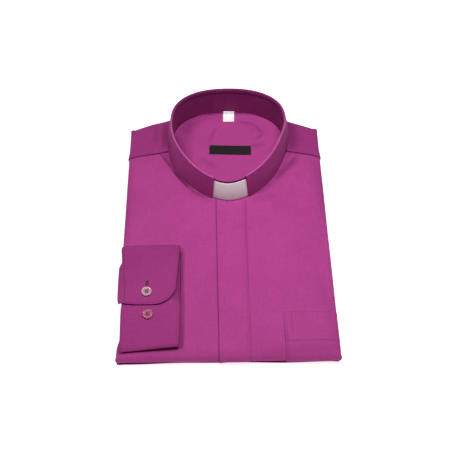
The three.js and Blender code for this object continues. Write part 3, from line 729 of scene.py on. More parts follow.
def across_places(low, high, step=1.4):
    """Places across the body, closer where they wrap round a side fold."""
    parts = []
    if low < -INNER_X:
        parts.append(np.linspace(low, -INNER_X, 15)[:-1])
    middle_low, middle_high = max(low, -INNER_X), min(high, INNER_X)
    parts.append(np.linspace(middle_low, middle_high, int((middle_high - middle_low) / step) + 2))
    if high > INNER_X:
        parts.append(np.linspace(INNER_X, high, 15)[1:])
    return np.concatenate(parts)


def band_outline():
    """The line round the outer foot of the collar's band, a gap outside it."""
    point, inward, sizes = station(np.linspace(0, NECK_LENGTH, 721))
    return point + inward * (sizes["stand_foot"] - COLLAR_WALL - GAP)[:, None]


band_line = band_outline()
widest_right, widest_left = band_line[:, 0].argmax(), band_line[:, 0].argmin()
front_branch = np.concatenate([band_line[widest_left:-1], band_line[:widest_right + 1]])
back_branch = band_line[widest_right:widest_left + 1][::-1]


def branch_height(branch, x, beyond):
    """Where a branch of the band's outline is above x, or a value beyond its two ends."""
    return np.interp(x, branch[:, 0], branch[:, 1], left=beyond, right=beyond)


def front_top(x):
    """The fronts' upper edge: the yoke seam or the band's foot, whichever is lower."""
    return np.minimum(yoke_seam(x), branch_height(front_branch, x, BEYOND))


def placket_left(b):
    """The placket's free edge drifts a little to the left towards the hem."""
    return PLACKET_LEFT - PLACKET_FLARE * b


def make_front(name, low, high):
    """A front: rows are even shares of the way from the bottom wrap's end to the upper edge."""
    a = across_places(low, high)
    x = np.clip(a, -INNER_X, INNER_X)
    wrap = np.linspace(-INNER_Y - WRAP_END, -INNER_Y, 15)[:-1]
    share = np.linspace(0, 1, 190)
    top = front_top(x)
    body = blend(-INNER_Y, top[:, None], share)
    tuck = top[:, None] + np.array([0.5, 1.3, TUCK])
    b = np.concatenate([np.broadcast_to(wrap, (len(a), len(wrap))), body, tuck], 1)
    a = np.broadcast_to(a[:, None], b.shape)
    down = TUCK_DROP * smooth(b - top[:, None], -0.2, TUCK * 0.7)
    outer, inner = on_body(a, b, down), on_body(a, b, down - CLOTH_WALL)
    piece = make_piece(name, [shell_arrays(outer, inner, np.stack([a, b], -1))], body_cloth)
    # Painted shade: a line along the edge tucked under the yoke, a dark line beside the fly's free edge, the
    # cuff's painted shadow, and the body's shade lines.
    tucked = 0.6 * smooth(b - top[:, None], -1.0, 0.0)
    beside_placket = (0.45 + 0.3 * smooth(-b, 0, 90)) * bell(a - placket_left(b), 0.9) * (b < PLACKET_TOP)
    cuff_shadow = 0.36 * (1 - smooth(a, *CUFF_SHADOW_EDGE)) * smooth(-b, *CUFF_SHADOW_TOP) * (1 - smooth(-b, *CUFF_SHADOW_FOOT))
    mark(piece, "painted_shade", lines_sum(SHADES, a, b) + tucked + beside_placket + cuff_shadow)
    return settle(piece, name.replace("shirt_", ""))


right_front = make_front("shirt_front_right", -INNER_X - WRAP_END, FRONT_EDGE - GAP / 2)
left_front = make_front("shirt_front_left", FRONT_EDGE + GAP / 2, INNER_X + WRAP_END)

# %% [markdown]
# ## Yoke
#
# The yoke is the double shoulder piece. Its lower edge is turned under and sewn over the tops
# of the fronts, so it stands a little above them along the seam. It rolls over the shoulder
# fold and passes behind the collar. A second patch is the part seen inside the neck: a shallow
# bowl, flat behind and rising to the band's foot in front.

# %% Yoke
SEAM_STEP, SEAM_FADE = 1.15, 15.0        # the yoke stands this far up at its seam, and settles over this
YOKE_HALF = 0.6                          # half its thickness, which is two layers of cloth
INSIDE_LEVEL, INSIDE_WALL = 7.0, 0.9
NECK_MIDDLE_BACK = 14.0                  # the bowl's middle lies this far in front of the neck's centre
STAND_FRONT_FOOT, STAND_BACK_FOOT = 18.4, 7.3
# Painted shade on the cloth inside the neck: thin darker lines beside its soft swells, and broader shade
# along the band's left inner wall.
NECK_SHADES = np.array([
    # x0,  y0,   x1,   y1, width, strength of painted shade
    (18, 182, 42, 175, 2.2, 0.30),
    (42, 175, 52, 160, 2.4, 0.38),
    (52, 160, 42, 150, 2.6, 0.30),
    (-11, 170, -21, 146, 2.6, 0.28),
    (54, 142, 36, 138, 3.0, 0.28),
    (-68, 156, -62, 130, 8.0, 0.50),
    (-62, 136, -50, 112, 6.0, 0.38),
    (-45, 186, -56, 160, 8.0, 0.25),
    (-34, 118, -10, 104, 4.0, 0.20),
], float)


def yoke_shoulders():
    """Columns across the whole body; rows from the seam, or behind the collar from the band's
    foot, to the end of the wrap."""
    a = across_places(-INNER_X - WRAP_END, INNER_X + WRAP_END, 2.0)
    x = np.clip(a, -INNER_X, INNER_X)
    fold = shoulder_start(x)
    behind = branch_height(back_branch, x, -BEYOND)
    past = np.clip((behind - fold) / FOLD_RADIUS, 0, 1)
    band = np.where(behind > fold, fold + FOLD_RADIUS * np.arcsin(past), behind)
    start = np.maximum(yoke_seam(x) + GAP / 2, band)[:, None]
    turning, end = np.maximum(fold[:, None], start), (fold + WRAP_END)[:, None]
    share = np.concatenate([[0, 0.003, 0.009, 0.018], np.linspace(0.03, 1, 30)])
    b = np.concatenate([blend(start, turning, share), blend(turning, end, np.linspace(0, 1, 16)[1:])], 1)
    a = np.broadcast_to(a[:, None], b.shape)
    from_seam, sewn_here = b - start, (behind < 0)[:, None]
    lift = SEAM_STEP * (1 - smooth(from_seam, 1, SEAM_FADE)) * sewn_here
    # Painted shade: a dark line along the seam, under the yoke's turned edge, and the body's shade lines.
    painted_shade = lines_sum(SHADES, a, b) + 0.6 * (1 - smooth(from_seam, 0, 0.9)) * sewn_here
    return body_shell(a, b, lift - YOKE_HALF, YOKE_HALF * edge_round(from_seam, 0.7)), painted_shade


def stand_foot_height(y):
    """The band's foot is high in front and low behind."""
    return blend(STAND_FRONT_FOOT, STAND_BACK_FOOT, smooth(y, 118, 172))


def neck_floor_height(x, y):
    """The cloth seen inside the neck: nearly flat, with a few long soft swells."""
    soft = 0.35 * np.sin(x / 17 + 0.8) * np.sin(y / 26 + 0.3)
    ridge = 1.5 * bell((x - 34) - 0.12 * (y - 160), 2.6) * smooth(y, 138, 156)
    valley = -0.5 * bell((x + 30) + 0.2 * (y - 150), 7) * smooth(y, 125, 160)
    return INSIDE_LEVEL + soft + ridge + valley


def yoke_inside():
    """A bowl: from the neck's middle out to the band's foot, by share of the way."""
    run = np.linspace(0, NECK_LENGTH, 141)[:-1]
    point, inward, sizes = station(run)
    edge = point + inward * (sizes["stand_foot"] + 0.5)[:, None]
    share = np.concatenate([[0.02], np.linspace(0.06, 0.84, 26), np.linspace(0.87, 1, 9)])
    middle = NECK_CENTRE - np.array([0, NECK_MIDDLE_BACK])
    plan = middle + (edge - middle)[:, None] * share[None, :, None]
    foot = stand_foot_height(point[:, 1])[:, None]
    level = neck_floor_height(plan[..., 0], plan[..., 1])
    height = blend(level, foot + 0.6, smooth(share, 0.88, 1.0)[None] * np.ones_like(level))
    outer = np.concatenate([plan, height[..., None]], -1)
    inner = outer - np.array([0, 0, INSIDE_WALL])
    arrays = close_middle(*shell_arrays(outer, inner, plan, ring=True), len(run), len(share))
    return arrays, lines_sum(NECK_SHADES, plan[..., 0], plan[..., 1])


def close_middle(points, quads, uvs, rows, columns):
    """Draws the innermost ring of both faces to one point each, so that the bowl has no hole."""
    half = rows * columns
    first = np.arange(rows) * columns
    points[first] = points[first].mean(0)
    points[half + first] = points[first[0]] - np.array([0, 0, INSIDE_WALL])
    strip = np.isin(quads, np.concatenate([first, half + first])).all(1)
    return points, quads[~strip], uvs[~strip]


shoulders, shoulder_shade = yoke_shoulders()
inside, inside_shade = yoke_inside()
yoke = make_piece("shirt_yoke", [shoulders, inside], doubled_shaded_cloth, body_cloth)
mark(yoke, "painted_shade", shoulder_shade, inside_shade)
settle(yoke, "yoke")

# %% [markdown]
# ## Folded layers
#
# Behind the fronts lie the back, the tail and both sleeves, folded in flat. Only their edges
# are ever seen, so each layer is one thin slab with a rounded, slightly uneven edge, set back
# or out a little from the next. The lowest lies flat on the floor.

# %% Folded layers
LAYER_TABLE = (
    # underside, top, out from the fold's start, unevenness
    (0.0, 1.55, 4.6, 0.5),
    (1.65, 3.05, 2.6, 0.6),
    (3.15, 4.75, 3.9, 0.5),
)


def layer_slab(low, high, out, uneven):
    """A slab over the body's outline, its half thickness a quarter circle at the edge."""
    ends = np.array([0, 0.06, 0.2, 0.45, 0.8, 1.3])
    side, bottom = INNER_X + out, -INNER_Y - out
    a = np.concatenate([-side + ends, np.linspace(-side + 8, side - 8, 44), side - ends[::-1]])[:, None]
    top = shoulder_start(np.clip(a, -INNER_X, INNER_X)) + out
    rows = np.broadcast_to(bottom + ends, (len(a), len(ends)))
    b = np.concatenate([rows, blend(bottom + 8, top - 8, np.linspace(0, 1, 50)), top - ends[::-1]], 1)
    a = np.broadcast_to(a, b.shape)
    edge = np.minimum(side - np.abs(a), np.minimum(b - bottom, top - b))
    x, y, over, away, pointed = past_folds(a, b)
    wave = uneven * (np.sin(x / 31 + y / 23 + low * 3) + 0.5 * np.sin(x / 13 - y / 17 + low * 5))
    over = over * (1 + wave / out) * pointed
    px, py = drawn_in(x + away[0] * over, y), y + away[1] * over
    half = (high - low) / 2 * np.sqrt(1 - (1 - np.clip(edge / 0.8, 0, 1)) ** 2 * 0.96)
    outer, inner = (np.stack([px, py, (high + low) / 2 + side * half], -1) for side in (1, -1))
    return shell_arrays(outer, inner, np.stack([a, b], -1))


layers = make_piece("shirt_folded_layers", [layer_slab(*row) for row in LAYER_TABLE], hidden_shaded_cloth)
settle(layers, "folded_layers")

# %% [markdown]
# ## Fly placket
#
# The buttons are hidden under a fly: a strip of the left front that laps over the right one. Along
# its free edge, on the wearer's right, a thin dark line of painted shade stands for its shadow; its
# other edge is sewn down, so there the strip sinks into the front, with a line of painted shade
# and a row of stitches. In two places it swells a little.

# %% Placket
LAID_WALL = 1.2
LAID_LIFT = GAP + LAID_WALL
LAID_HALF = 0.55               # half the shell's own thickness
SEWN_EDGE = 1.4                # the placket is sewn down this far inside its right edge
PLACKET_BOW = 0.8              # its right edge swings out by this near the hem
PLACKET_OPEN = 0.35            # how far its free edge stands off, and as much again near the hem
PLACKET_SWELLS = (
    # x, y, half width, half length, height
    (9, -148, 7, 5, 0.35),
    (9, -52, 8, 6, 0.18),
)


def leaf_foot_line():
    """The plan line of the leaf's foot round the front of the neck, sorted along X."""
    point, inward, sizes = station(np.linspace(-60, 60, 121))
    line = point + inward * (-sizes["lean"] - GAP - 0.5)[:, None]
    return line[np.argsort(line[:, 0])]


foot_line = leaf_foot_line()


def placket_bow(b):
    """How far the sewn edge swings out at a height."""
    return PLACKET_BOW * smooth(-b, 90, 140)


def make_placket():
    """Columns by share of the width, rows from the bottom wrap to the collar; the lift falls to
    nothing over the last few millimetres on the right."""
    share = np.concatenate([edge_places(0, 1, 0.03, 0.018)[:-5], np.linspace(0.90, 1, 10)])[:, None]
    low = -INNER_Y - LAID_WRAP
    row = [np.linspace(low, -INNER_Y, 14)[:-1], np.linspace(-INNER_Y, PLACKET_TOP - 8, 100)]
    row = np.broadcast_to(np.concatenate(row), (len(share), 113))
    top = np.interp(blend(PLACKET_LEFT, PLACKET_RIGHT, share), foot_line[:, 0], foot_line[:, 1]) - 0.2
    b = np.concatenate([row, blend(row[:, -1:], top, np.linspace(0, 1, 10)[1:])], 1)
    left, right = placket_left(b), PLACKET_RIGHT + placket_bow(b)
    a = left + (PLACKET_RIGHT - left) * share + placket_bow(b) * share
    from_left, from_right = a - left, right - a
    wave = 0.16 * np.sin(b / 19 + 0.5) + 0.10 * np.sin(b / 7.3)
    open_edge = (PLACKET_OPEN + wave + PLACKET_OPEN * smooth(-b, 20, 110)) * (1 - smooth(from_left, 0, 9))
    lift = LAID_LIFT * smooth(from_right, -0.5, 6.5) - 0.15 + open_edge
    for x, y, width, length, height in PLACKET_SWELLS:
        lift = lift + height * np.exp(-(((a - x) / width) ** 2 + ((b - y) / length) ** 2))
    half = LAID_HALF * edge_round(np.minimum(from_left, np.minimum(b - low, top - b + 0.3)))
    piece = make_piece("shirt_fly_placket", [body_shell(a, b, lift - LAID_HALF, half)], body_cloth)
    # Painted shade: a dark line along the free edge, a fainter one along the sewn edge, and the body's shade
    # lines.
    free_edge = 0.75 * (1 - smooth(from_left, 0.0, 0.9))
    firm = 0.40 - 0.28 * smooth(-b, 48, 84) + 0.12 * np.sin(b / 7.0) * smooth(-b, 60, 90)
    sewn_edge = firm * bell(from_right - SEWN_EDGE, 0.45)
    mark(piece, "painted_shade", lines_sum(SHADES, a, b) + free_edge + sewn_edge)
    return piece


placket = settle(make_placket(), "fly_placket")

# %% [markdown]
# ## Pocket
#
# The patch pocket is on the left front, low enough for the folds to hide most of it. It stands
# up by its own thickness along its mouth and left side. The mouth's hem is folded inwards, and
# the cloth is pressed flat close to the front where both turn over the side.

# %% Pocket
POCKET_LEFT, POCKET_TOP, POCKET_HEM, POCKET_LEAN = 62.6, -108.5, -143.0, 0.02
POCKET_EDGE_ROW, POCKET_INNER_ROW = 2.4, 9.4     # rows of stitches this far from its left side


def make_pocket():
    """A patch round the right and bottom folds, its mouth and left side free-edged."""
    low, high = -INNER_Y - LAID_WRAP, INNER_X + LAID_WRAP
    left_part = edge_places(POCKET_LEFT, POCKET_LEFT + 12, 0.6)[:-4]
    middle, wrap = np.linspace(POCKET_LEFT + 13, INNER_X, 38)[:-1], np.linspace(INNER_X, high, 15)
    b = np.concatenate([np.linspace(low, -INNER_Y, 14)[:-1], edge_places(-INNER_Y, POCKET_TOP, 0.8)[4:]])
    a, b = np.meshgrid(np.concatenate([left_part, middle, wrap]), b, indexing="ij")
    from_top = POCKET_TOP - b
    a = a + POCKET_LEAN * from_top * (1 - smooth(a, POCKET_LEFT, POCKET_LEFT + 40))
    from_left = a - POCKET_LEFT - POCKET_LEAN * from_top
    mouth = (0.35 + 0.2 * np.sin(a / 9)) * (1 - smooth(from_top, 0, 8)) * smooth(from_left, 2, 14)
    open_side = 0.7 * bell(b + 141, 7) * (1 - smooth(from_left, 0, 5))
    step = -0.22 * smooth(-b, -POCKET_HEM - 0.8, -POCKET_HEM + 0.8)
    sink = 1 - 0.75 * smooth(a, INNER_X - 9, INNER_X + 2)
    lift = (LAID_LIFT - 0.25 + mouth + step) * sink + open_side
    half = LAID_HALF * edge_round(np.minimum(np.minimum(from_left, from_top), np.minimum(b - low, high - a)))
    piece = make_piece("shirt_pocket", [body_shell(a, b, lift - LAID_HALF, half)], body_cloth)
    # Painted shade: dark lines along the free left side and the mouth, stronger low on the side, and along
    # the rows of stitches.
    firm = 0.42 + 0.5 * bell(b + 137, 6)
    edges = firm * (1 - smooth(from_left, 0.1, 0.9)) + 0.45 * (1 - smooth(from_top, 0.1, 0.8))
    inner_row = 0.3 * bell(from_left - POCKET_INNER_ROW, 0.6) * smooth(-from_top, -34, -20)
    edge_row = 0.25 * bell(from_left - POCKET_EDGE_ROW, 0.5)
    hem_row = (0.26 + 0.1 * np.sin(a / 5.0)) * bell(b - POCKET_HEM, 0.5)
    mark(piece, "painted_shade", lines_sum(SHADES, a, b) + edges + inner_row + edge_row + hem_row)
    return piece


pocket = settle(make_pocket(), "pocket")

# %% [markdown]
# ## Collar stand
#
# A clerical collar is a band round the neck, the stand, with a leaf turned down over it. Both
# are fused, that is stiffened with an inner layer, so they hold one smooth curve. The stand is
# a straight wall carried round the neck line and closed on itself. In front it leans in as it
# rises.

# %% Stand
def upright_wall(run, middle, half, height, ring=False):
    """A shell carried round the neck line, half its thickness to both sides of a middle."""
    point, inward = stations(run)[:2]
    outer, inner = (on_section(point, inward, middle + side * half, height) for side in (-1, 1))
    return shell_arrays(outer, inner, np.stack(np.broadcast_arrays(run[:, None], height), -1), ring)


def make_stand():
    """Ring of stations by heights; the wall's inner face leans from the foot to the roll."""
    run = np.linspace(0, NECK_LENGTH, 281)[:-1]
    point, _, sizes = stations(run)
    share = edge_places(0, 1, 0.07, 0.03)[None]
    top = RIM_TOP - sizes["roll"] / 2 - STAND_DROP
    height = blend(stand_foot_height(point[..., 1]), top, share)
    middle = blend(sizes["stand_foot"], sizes["roll"], share) - COLLAR_WALL / 2
    marks = vertical_marks(point, share)
    ripple = 0.16 * np.sin(run / 15 + 1)[:, None] * np.sin(share * 3.1) + 0.35 * marks
    half = COLLAR_WALL / 2 * edge_round(np.minimum(share, 1 - share), 0.03)
    arrays = upright_wall(run, middle + ripple, half, height, ring=True)
    # Painted shade: the stand's darker cloth, darker still just under the leaf's turned-in leg, and along the
    # two upright marks.
    piece = make_piece("shirt_collar_stand", [arrays], band_shaded_cloth)
    mark(piece, "painted_shade", 0.8 * (1 - smooth(top - height, 0.5, 2.4)) + 0.3 * marks)
    return piece


def vertical_marks(point, share):
    """Two faint upright marks on the inside behind the neck, where the band was pressed; the stand
    dips a little along them and takes painted shade there.
    """
    marks = bell(point[..., 0] + 17, 1.6) + 0.8 * bell(point[..., 0] - 2, 1.6)
    return smooth(point[..., 1], 185, 192) * marks * np.sin(share * math.pi)


stand = settle(make_stand(), "collar_stand")

# %% [markdown]
# ## Collar leaf
#
# The leaf is carried round the neck line too: up the stand's outer face, over a half round at
# the rim, and a little way down inside. The front is left open, where the white tab shows.
# A painted highlight lies along the roll in front, and painted shade inside the roll behind the neck.

# %% Leaf
FRONT_GAP_LEFT, FRONT_GAP_RIGHT = 17.9, 22.4
LEAF_BACK_FOOT = 11.0
LEG_PROUD = 0.45               # the inside leg's end stands this far off the band
LEG_GAP = 0.7                  # and this far above the stand's top
# Painted shade inside the roll behind the neck, as a share.
BACK_ROLL_SHADE = 0.45                # how far the shaded inside of the roll is deepened in colour
BELLY, FACE_WAVE = 0.3, 0.22   # the face swells half way up, and its foot waves a little
CORNER = 4.5
END_LEAN, END_REACH = 2.3, 16.0   # the leaf's right end leans outwards by this, from foot to rim


def leaf_run():
    """Places round the rim, close together at the leaf's ends, and how far each is from an end."""
    low, high = FRONT_GAP_RIGHT, NECK_LENGTH - FRONT_GAP_LEFT
    fine = np.array([0, 0.15, 0.45, 0.9, 1.5, 2.2, 3.0, 3.8, 4.6, 5.4])
    between = edge_places(low, high, 2.0, 5.0)
    between = between[(between > low + 6) & (between < high - 6)]
    run = np.concatenate([low + fine, between, high - fine[::-1]])
    return run, np.minimum(run - low, high - run)[:, None]


def leaf_foot_height(point, inward, sizes):
    """The leaf hangs to just above the highest cloth under its wall, and no lower than a limit."""
    highest = np.full(point.shape[:-1], LEAF_BACK_FOOT)
    for into in (-0.6, 0.6, 1.8):
        x, y = np.moveaxis(point + inward * (into - sizes["lean"])[..., None], -1, 0)
        start = shoulder_start(x)
        past = np.clip(y - start, 0, FOLD_RADIUS)
        under = body_top(x, np.minimum(y, start)) - FOLD_RADIUS
        highest = np.maximum(highest, under + np.sqrt(FOLD_RADIUS ** 2 - past ** 2) + 0.55)
    return highest


def leaf_section(face_into, face_height, sizes, wall):
    """How far in and how high the section runs, this far inside its outer face."""
    radius, leg = sizes["roll"] / 2, np.array([[0.3, 0.65, 0.9, 1.0]])
    centre, reach = RIM_TOP - radius, radius - wall
    angle = np.radians(np.arange(9, 181, 9))[None]
    inside = sizes["roll"] - wall + LEG_PROUD * leg
    into = np.concatenate([face_into + wall, radius - reach * np.cos(angle), inside], 1)
    low = centre - (STAND_DROP - LEG_GAP) * leg
    return into, np.concatenate([face_height, centre + reach * np.sin(angle), low], 1)


def make_leaf():
    """Section: a straight outer face, a half round of the roll's width, and an inside leg. The
    lower corner at each end of the leaf is cut to a quarter circle."""
    run, from_end = leaf_run()
    point, inward, sizes = stations(run)
    short = np.clip(CORNER - from_end, 0, CORNER)
    foot = leaf_foot_height(point, inward, sizes) + CORNER - np.sqrt(CORNER ** 2 - short ** 2 * 0.999)
    centre = RIM_TOP - sizes["roll"] / 2
    share = np.concatenate([[0, 0.004, 0.012, 0.025], np.linspace(0.05, 1, 16)])[None]
    face_height = blend(foot, centre, share)
    belly = BELLY * np.sin(share * math.pi) * smooth(from_end, 0, 12)
    wave = FACE_WAVE * np.sin(run / 27 + 0.6)[:, None] * (1 - share)
    face_into = leaf_face(sizes, face_height) - belly + wave
    faces = [leaf_section(face_into, face_height, sizes, wall) for wall in (0.0, COLLAR_WALL)]
    (into_out, height_out), (into_in, height_in) = faces
    path = run_across(into_out, height_out)
    keep = edge_round(np.minimum(path, from_end), 0.65)
    mid_into, mid_height = (into_out + into_in) / 2, (height_out + height_in) / 2
    raised = (height_out - foot) / (RIM_TOP - foot)
    leant = END_LEAN * (raised - 0.5) * (1 - smooth(run - FRONT_GAP_RIGHT, 0, END_REACH))[:, None]
    point = point + np.stack([inward[..., 1], -inward[..., 0]], -1) * leant[..., None]
    outer, inner = (
        on_section(point, inward, blend(mid_into, into, keep), blend(mid_height, height, keep))
        for into, height in faces
    )
    flat = np.stack([np.broadcast_to(run[:, None], path.shape), path], -1)
    piece = make_piece("shirt_collar_leaf", [shell_arrays(outer, inner, flat)], collar_shaded_cloth)
    # Painted highlight along the crest of the roll in front, and painted shade on the inside of the roll
    # behind the neck.
    folded = bell(into_out - sizes["roll"] * 0.55, 1.3) * smooth(height_out, centre, centre + 0.6)
    mark(piece, "painted_highlight", folded * smooth(NECK_CENTRE[1] + 22 - point[..., 1], 0, 40))
    behind = smooth(point[..., 1] - NECK_CENTRE[1], 10, 40)
    mark(piece, "painted_shade", smooth(into_out, 0.0, sizes["roll"] * 0.5) * behind * BACK_ROLL_SHADE)
    return piece


leaf = settle(make_leaf(), "collar_leaf")

# %% [markdown]
# ## White tab
#
# The tab is a strip of matt white plastic bent round the front of the band, its ends behind
# the leaf. Being springy it bulges a little at mid height. Its edges are cut and rubbed
# smooth, and it has the very fine mottle of a moulded sheet.

# %% Tab
TAB_LENGTH, TAB_WALL, TAB_FOOT, TAB_TOP, TAB_MIDDLE, TAB_ROOM = 96.0, 1.0, 20.5, 45.5, 1.7, 0.5
TAB_BULGE = 0.9


def plastic(name, colour, roughness, coat=0.0, mottle=0.03, marble=0.0, pale=(1, 1, 1), dish_shade=None):
    """Moulded plastic: one colour with a faint mottle or marbling, and small ripples. A button
    is darker inside its dish with painted shade, by distance from the middle of its own UV map."""
    nodes = Nodes(name)
    place = nodes.add("ShaderNodeTexCoord").outputs["Object"]
    base = nodes.mix(nodes.noise(place, 900.0), darker(colour, 1 - mottle), colour)
    if marble:
        veins = nodes.ramp(nodes.noise(place, 330.0, detail=3.0, distortion=2.2), 0.42, 0.62)
        base = nodes.mix(nodes.maths("MULTIPLY", veins, marble), base, pale)
    if dish_shade:
        radius = nodes.add("ShaderNodeVectorMath", {0: nodes.cloth_uv()}, operation="LENGTH").outputs["Value"]
        inside = nodes.ramp(radius, 0.0040, 0.0026)
        base = nodes.mix(nodes.maths("MULTIPLY", inside, 0.7), base, dish_shade)
    nodes.into(Base_Color=base, Roughness=roughness, Coat_Weight=coat, Coat_Roughness=0.08)
    nodes.bump(nodes.noise(place, 120.0, detail=1.0), 0.1, 0.0002)
    return nodes.material


tab_plastic = plastic("tab_plastic", (0.90, 0.82, 0.83), 0.42, coat=0.15)


def make_tab():
    """Stations along the tab by shares of its height; the bulge is a sine of the height."""
    run = edge_places(TAB_MIDDLE - TAB_LENGTH / 2, TAB_MIDDLE + TAB_LENGTH / 2, 1.2)
    share = edge_places(0, 1, 0.08, 0.05)[None]
    height = blend(TAB_FOOT, TAB_TOP, share) * np.ones((len(run), 1))
    open_part = smooth(run, -22, -12) * (1 - smooth(run, 16, 26))
    bulge = -TAB_BULGE * np.sin(share * math.pi) * open_part[:, None]
    middle = leaf_face(stations(run)[2], height) + COLLAR_WALL + TAB_ROOM + TAB_WALL / 2 + bulge
    half = TAB_WALL / 2 * edge_round(np.minimum(share, 1 - share), 0.05)
    return make_piece("shirt_collar_tab", [upright_wall(run, middle, half, height)], tab_plastic)


settle(make_tab(), "collar_tab")

# %% [markdown]
# ## Cuff
#
# The right sleeve is folded behind and its cuff brought round onto the front. In section the
# cuff is a spiral: a flap on top, over the upper fold, down underneath, round the lower fold
# and back up between. The spiral's middle line is worked out for every column across the cuff
# and a thin wall is put on both sides of it.

# %% Cuff
CUFF_LEFT, CUFF_RIGHT, CUFF_UNDER_RIGHT = -121.8, -55.6, -54.2
CUFF_TOP_FOLD, CUFF_FLAP_END, CUFF_CORNER = -21.6, -101.0, 27.0
CUFF_BOTTOM_RIGHT, CUFF_BOTTOM_LEFT = -151.0, -155.8
CUFF_WALL = 1.7
CUFF_MIDDLE = -90.0            # every layer follows the front's height along this line
LIFT_BOTTOM, LIFT_UNDER, LIFT_FLAP = 1.2, 6.4, 8.5       # of the layers, over the front's cloth
FLAP_LEFT, WRAP_START, WRAP_RADIUS = -128.0, -119.0, 7.0 # where the flap turns over the side
FLAP_BOW, FLAP_BOW_START, FLAP_BOW_SPAN = 2.2, -95.0, 27.0
FLAP_SLANT = -3.4              # its right edge stands in by this at its lower corner
INNER_END = -38.0              # the innermost turn ends here
PUFF, PINCH, LIP = 0.35, 0.9, 0.5      # the flap swells, is pressed down at its side, lifts at its end
FOOT_OPEN = 2.0                # the lower right corner stands off by this
EDGE_ROW, ROW_DEPTH = 2.0, 0.16        # the row of stitches is this far inside the edges
CUFF_CREASE = (-120.2, -117.2) # a crease down the flap's left side, at its top and at its foot
CREASE_DEPTH = 0.35
FLAP_OUTLINE = np.array([
    # y,   how far the flap's left edge stands in
    (-104, 3.4), (-100, 2.4), (-97, 1.2), (-93, 0.3), (-89, 0.0), (-72, -0.4), (-52, -0.4), (-48, 0.6),
    (-44, 2.6), (-36, 2.0), (-28, 1.0), (-18, 0.6),
], float)
CUFF_OUTLINE = np.array([
    # y,   how far the lower part's left edge stands in
    (-158, 3.0), (-150, 1.9), (-135, 1.3), (-112, 0.6), (-104, 0.6), (-96, 1.2), (-24, 3.2),
], float)


def walled(middle, half):
    """Outer and inner faces of a wall: half its thickness off the middle, along the normal,
    which is the cross product of the grid's two directions."""
    normal = np.cross(np.gradient(middle, axis=0), np.gradient(middle, axis=1))
    normal /= np.linalg.norm(normal, axis=-1, keepdims=True)
    offset = normal * np.asarray(half)[..., None]
    return middle + offset, middle - offset


def flap_end(x):
    """The flap's end: a soft bow, with its right corner a wide quarter circle."""
    past = np.clip(x - (CUFF_RIGHT - CUFF_CORNER), 0, CUFF_CORNER)
    cut = (CUFF_CORNER - np.sqrt(CUFF_CORNER ** 2 - past ** 2 * 0.9999)) * 0.95
    bow = FLAP_BOW * (np.clip(FLAP_BOW_START - x, 0, 40) / FLAP_BOW_SPAN) ** 2
    return CUFF_FLAP_END + cut + bow


def flap_slant(y):
    """How far the flap's right edge stands in at a height."""
    return FLAP_SLANT * smooth(-y, 24, 84)


def crease_line(y):
    """Where the crease down the flap's left side runs at a height."""
    return blend(*CUFF_CREASE, smooth(-y, 44, 96))


def cuff_middle(x, flap_x):
    """The spiral's places along Y and its lifts for each x: straight runs joined by half rounds.
    Then which of its five parts each place is in, and its share in the wrap over the side."""
    bottom = blend(CUFF_BOTTOM_LEFT, CUFF_BOTTOM_RIGHT, (x - CUFF_LEFT) / (CUFF_RIGHT - CUFF_LEFT))
    turn = np.radians(np.linspace(0, 180, 15))[None]
    back = turn[:, ::-1]
    top_radius, low_radius = (LIFT_FLAP - LIFT_BOTTOM) / 2, (LIFT_UNDER - LIFT_BOTTOM) / 2
    top_centre = CUFF_TOP_FOLD - top_radius - CUFF_WALL / 2
    low_centre = bottom + low_radius + CUFF_WALL / 2
    share = np.concatenate([[0, 0.004, 0.01, 0.017, 0.023, 0.029, 0.036], np.linspace(0.05, 1, 46)[:-1]])
    flap_y = blend(flap_end(flap_x), top_centre, share)
    inner = np.linspace(0, 1, 40)[None, 1:]
    inner_y = blend(low_centre, INNER_END, inner)
    inner_lift = np.interp(inner_y, (-160, -106, -94, -60, -38), (LIFT_UNDER, 6.2, 5.4, 5.2, 5.0))
    parts = (
        # places along Y, lifts
        (flap_y, LIFT_FLAP - 0.25 * (1 - smooth(flap_y, -104, -82))),
        (top_centre + top_radius * np.sin(turn), LIFT_BOTTOM + top_radius * (1 + np.cos(turn))),
        (blend(top_centre, low_centre, np.linspace(0, 1, 22)[None, 1:-1]), LIFT_BOTTOM),
        (low_centre - low_radius * np.sin(back), LIFT_BOTTOM + low_radius * (1 + np.cos(back))),
        (inner_y, blend(LIFT_UNDER, inner_lift, smooth(inner, 0, 0.2))),
    )
    parts = [np.broadcast_arrays(places, lifts, x)[:2] for places, lifts in parts]
    y, lift = (np.concatenate(arrays, 1) for arrays in zip(*parts))
    counts = [places.shape[1] for places, lifts in parts]
    wrapped = np.concatenate([np.ones(counts[0]), 1 - smooth(turn[0], 1.0, 3.1), np.zeros(sum(counts[2:]))])
    return y, lift, np.repeat(np.arange(5), counts), wrapped


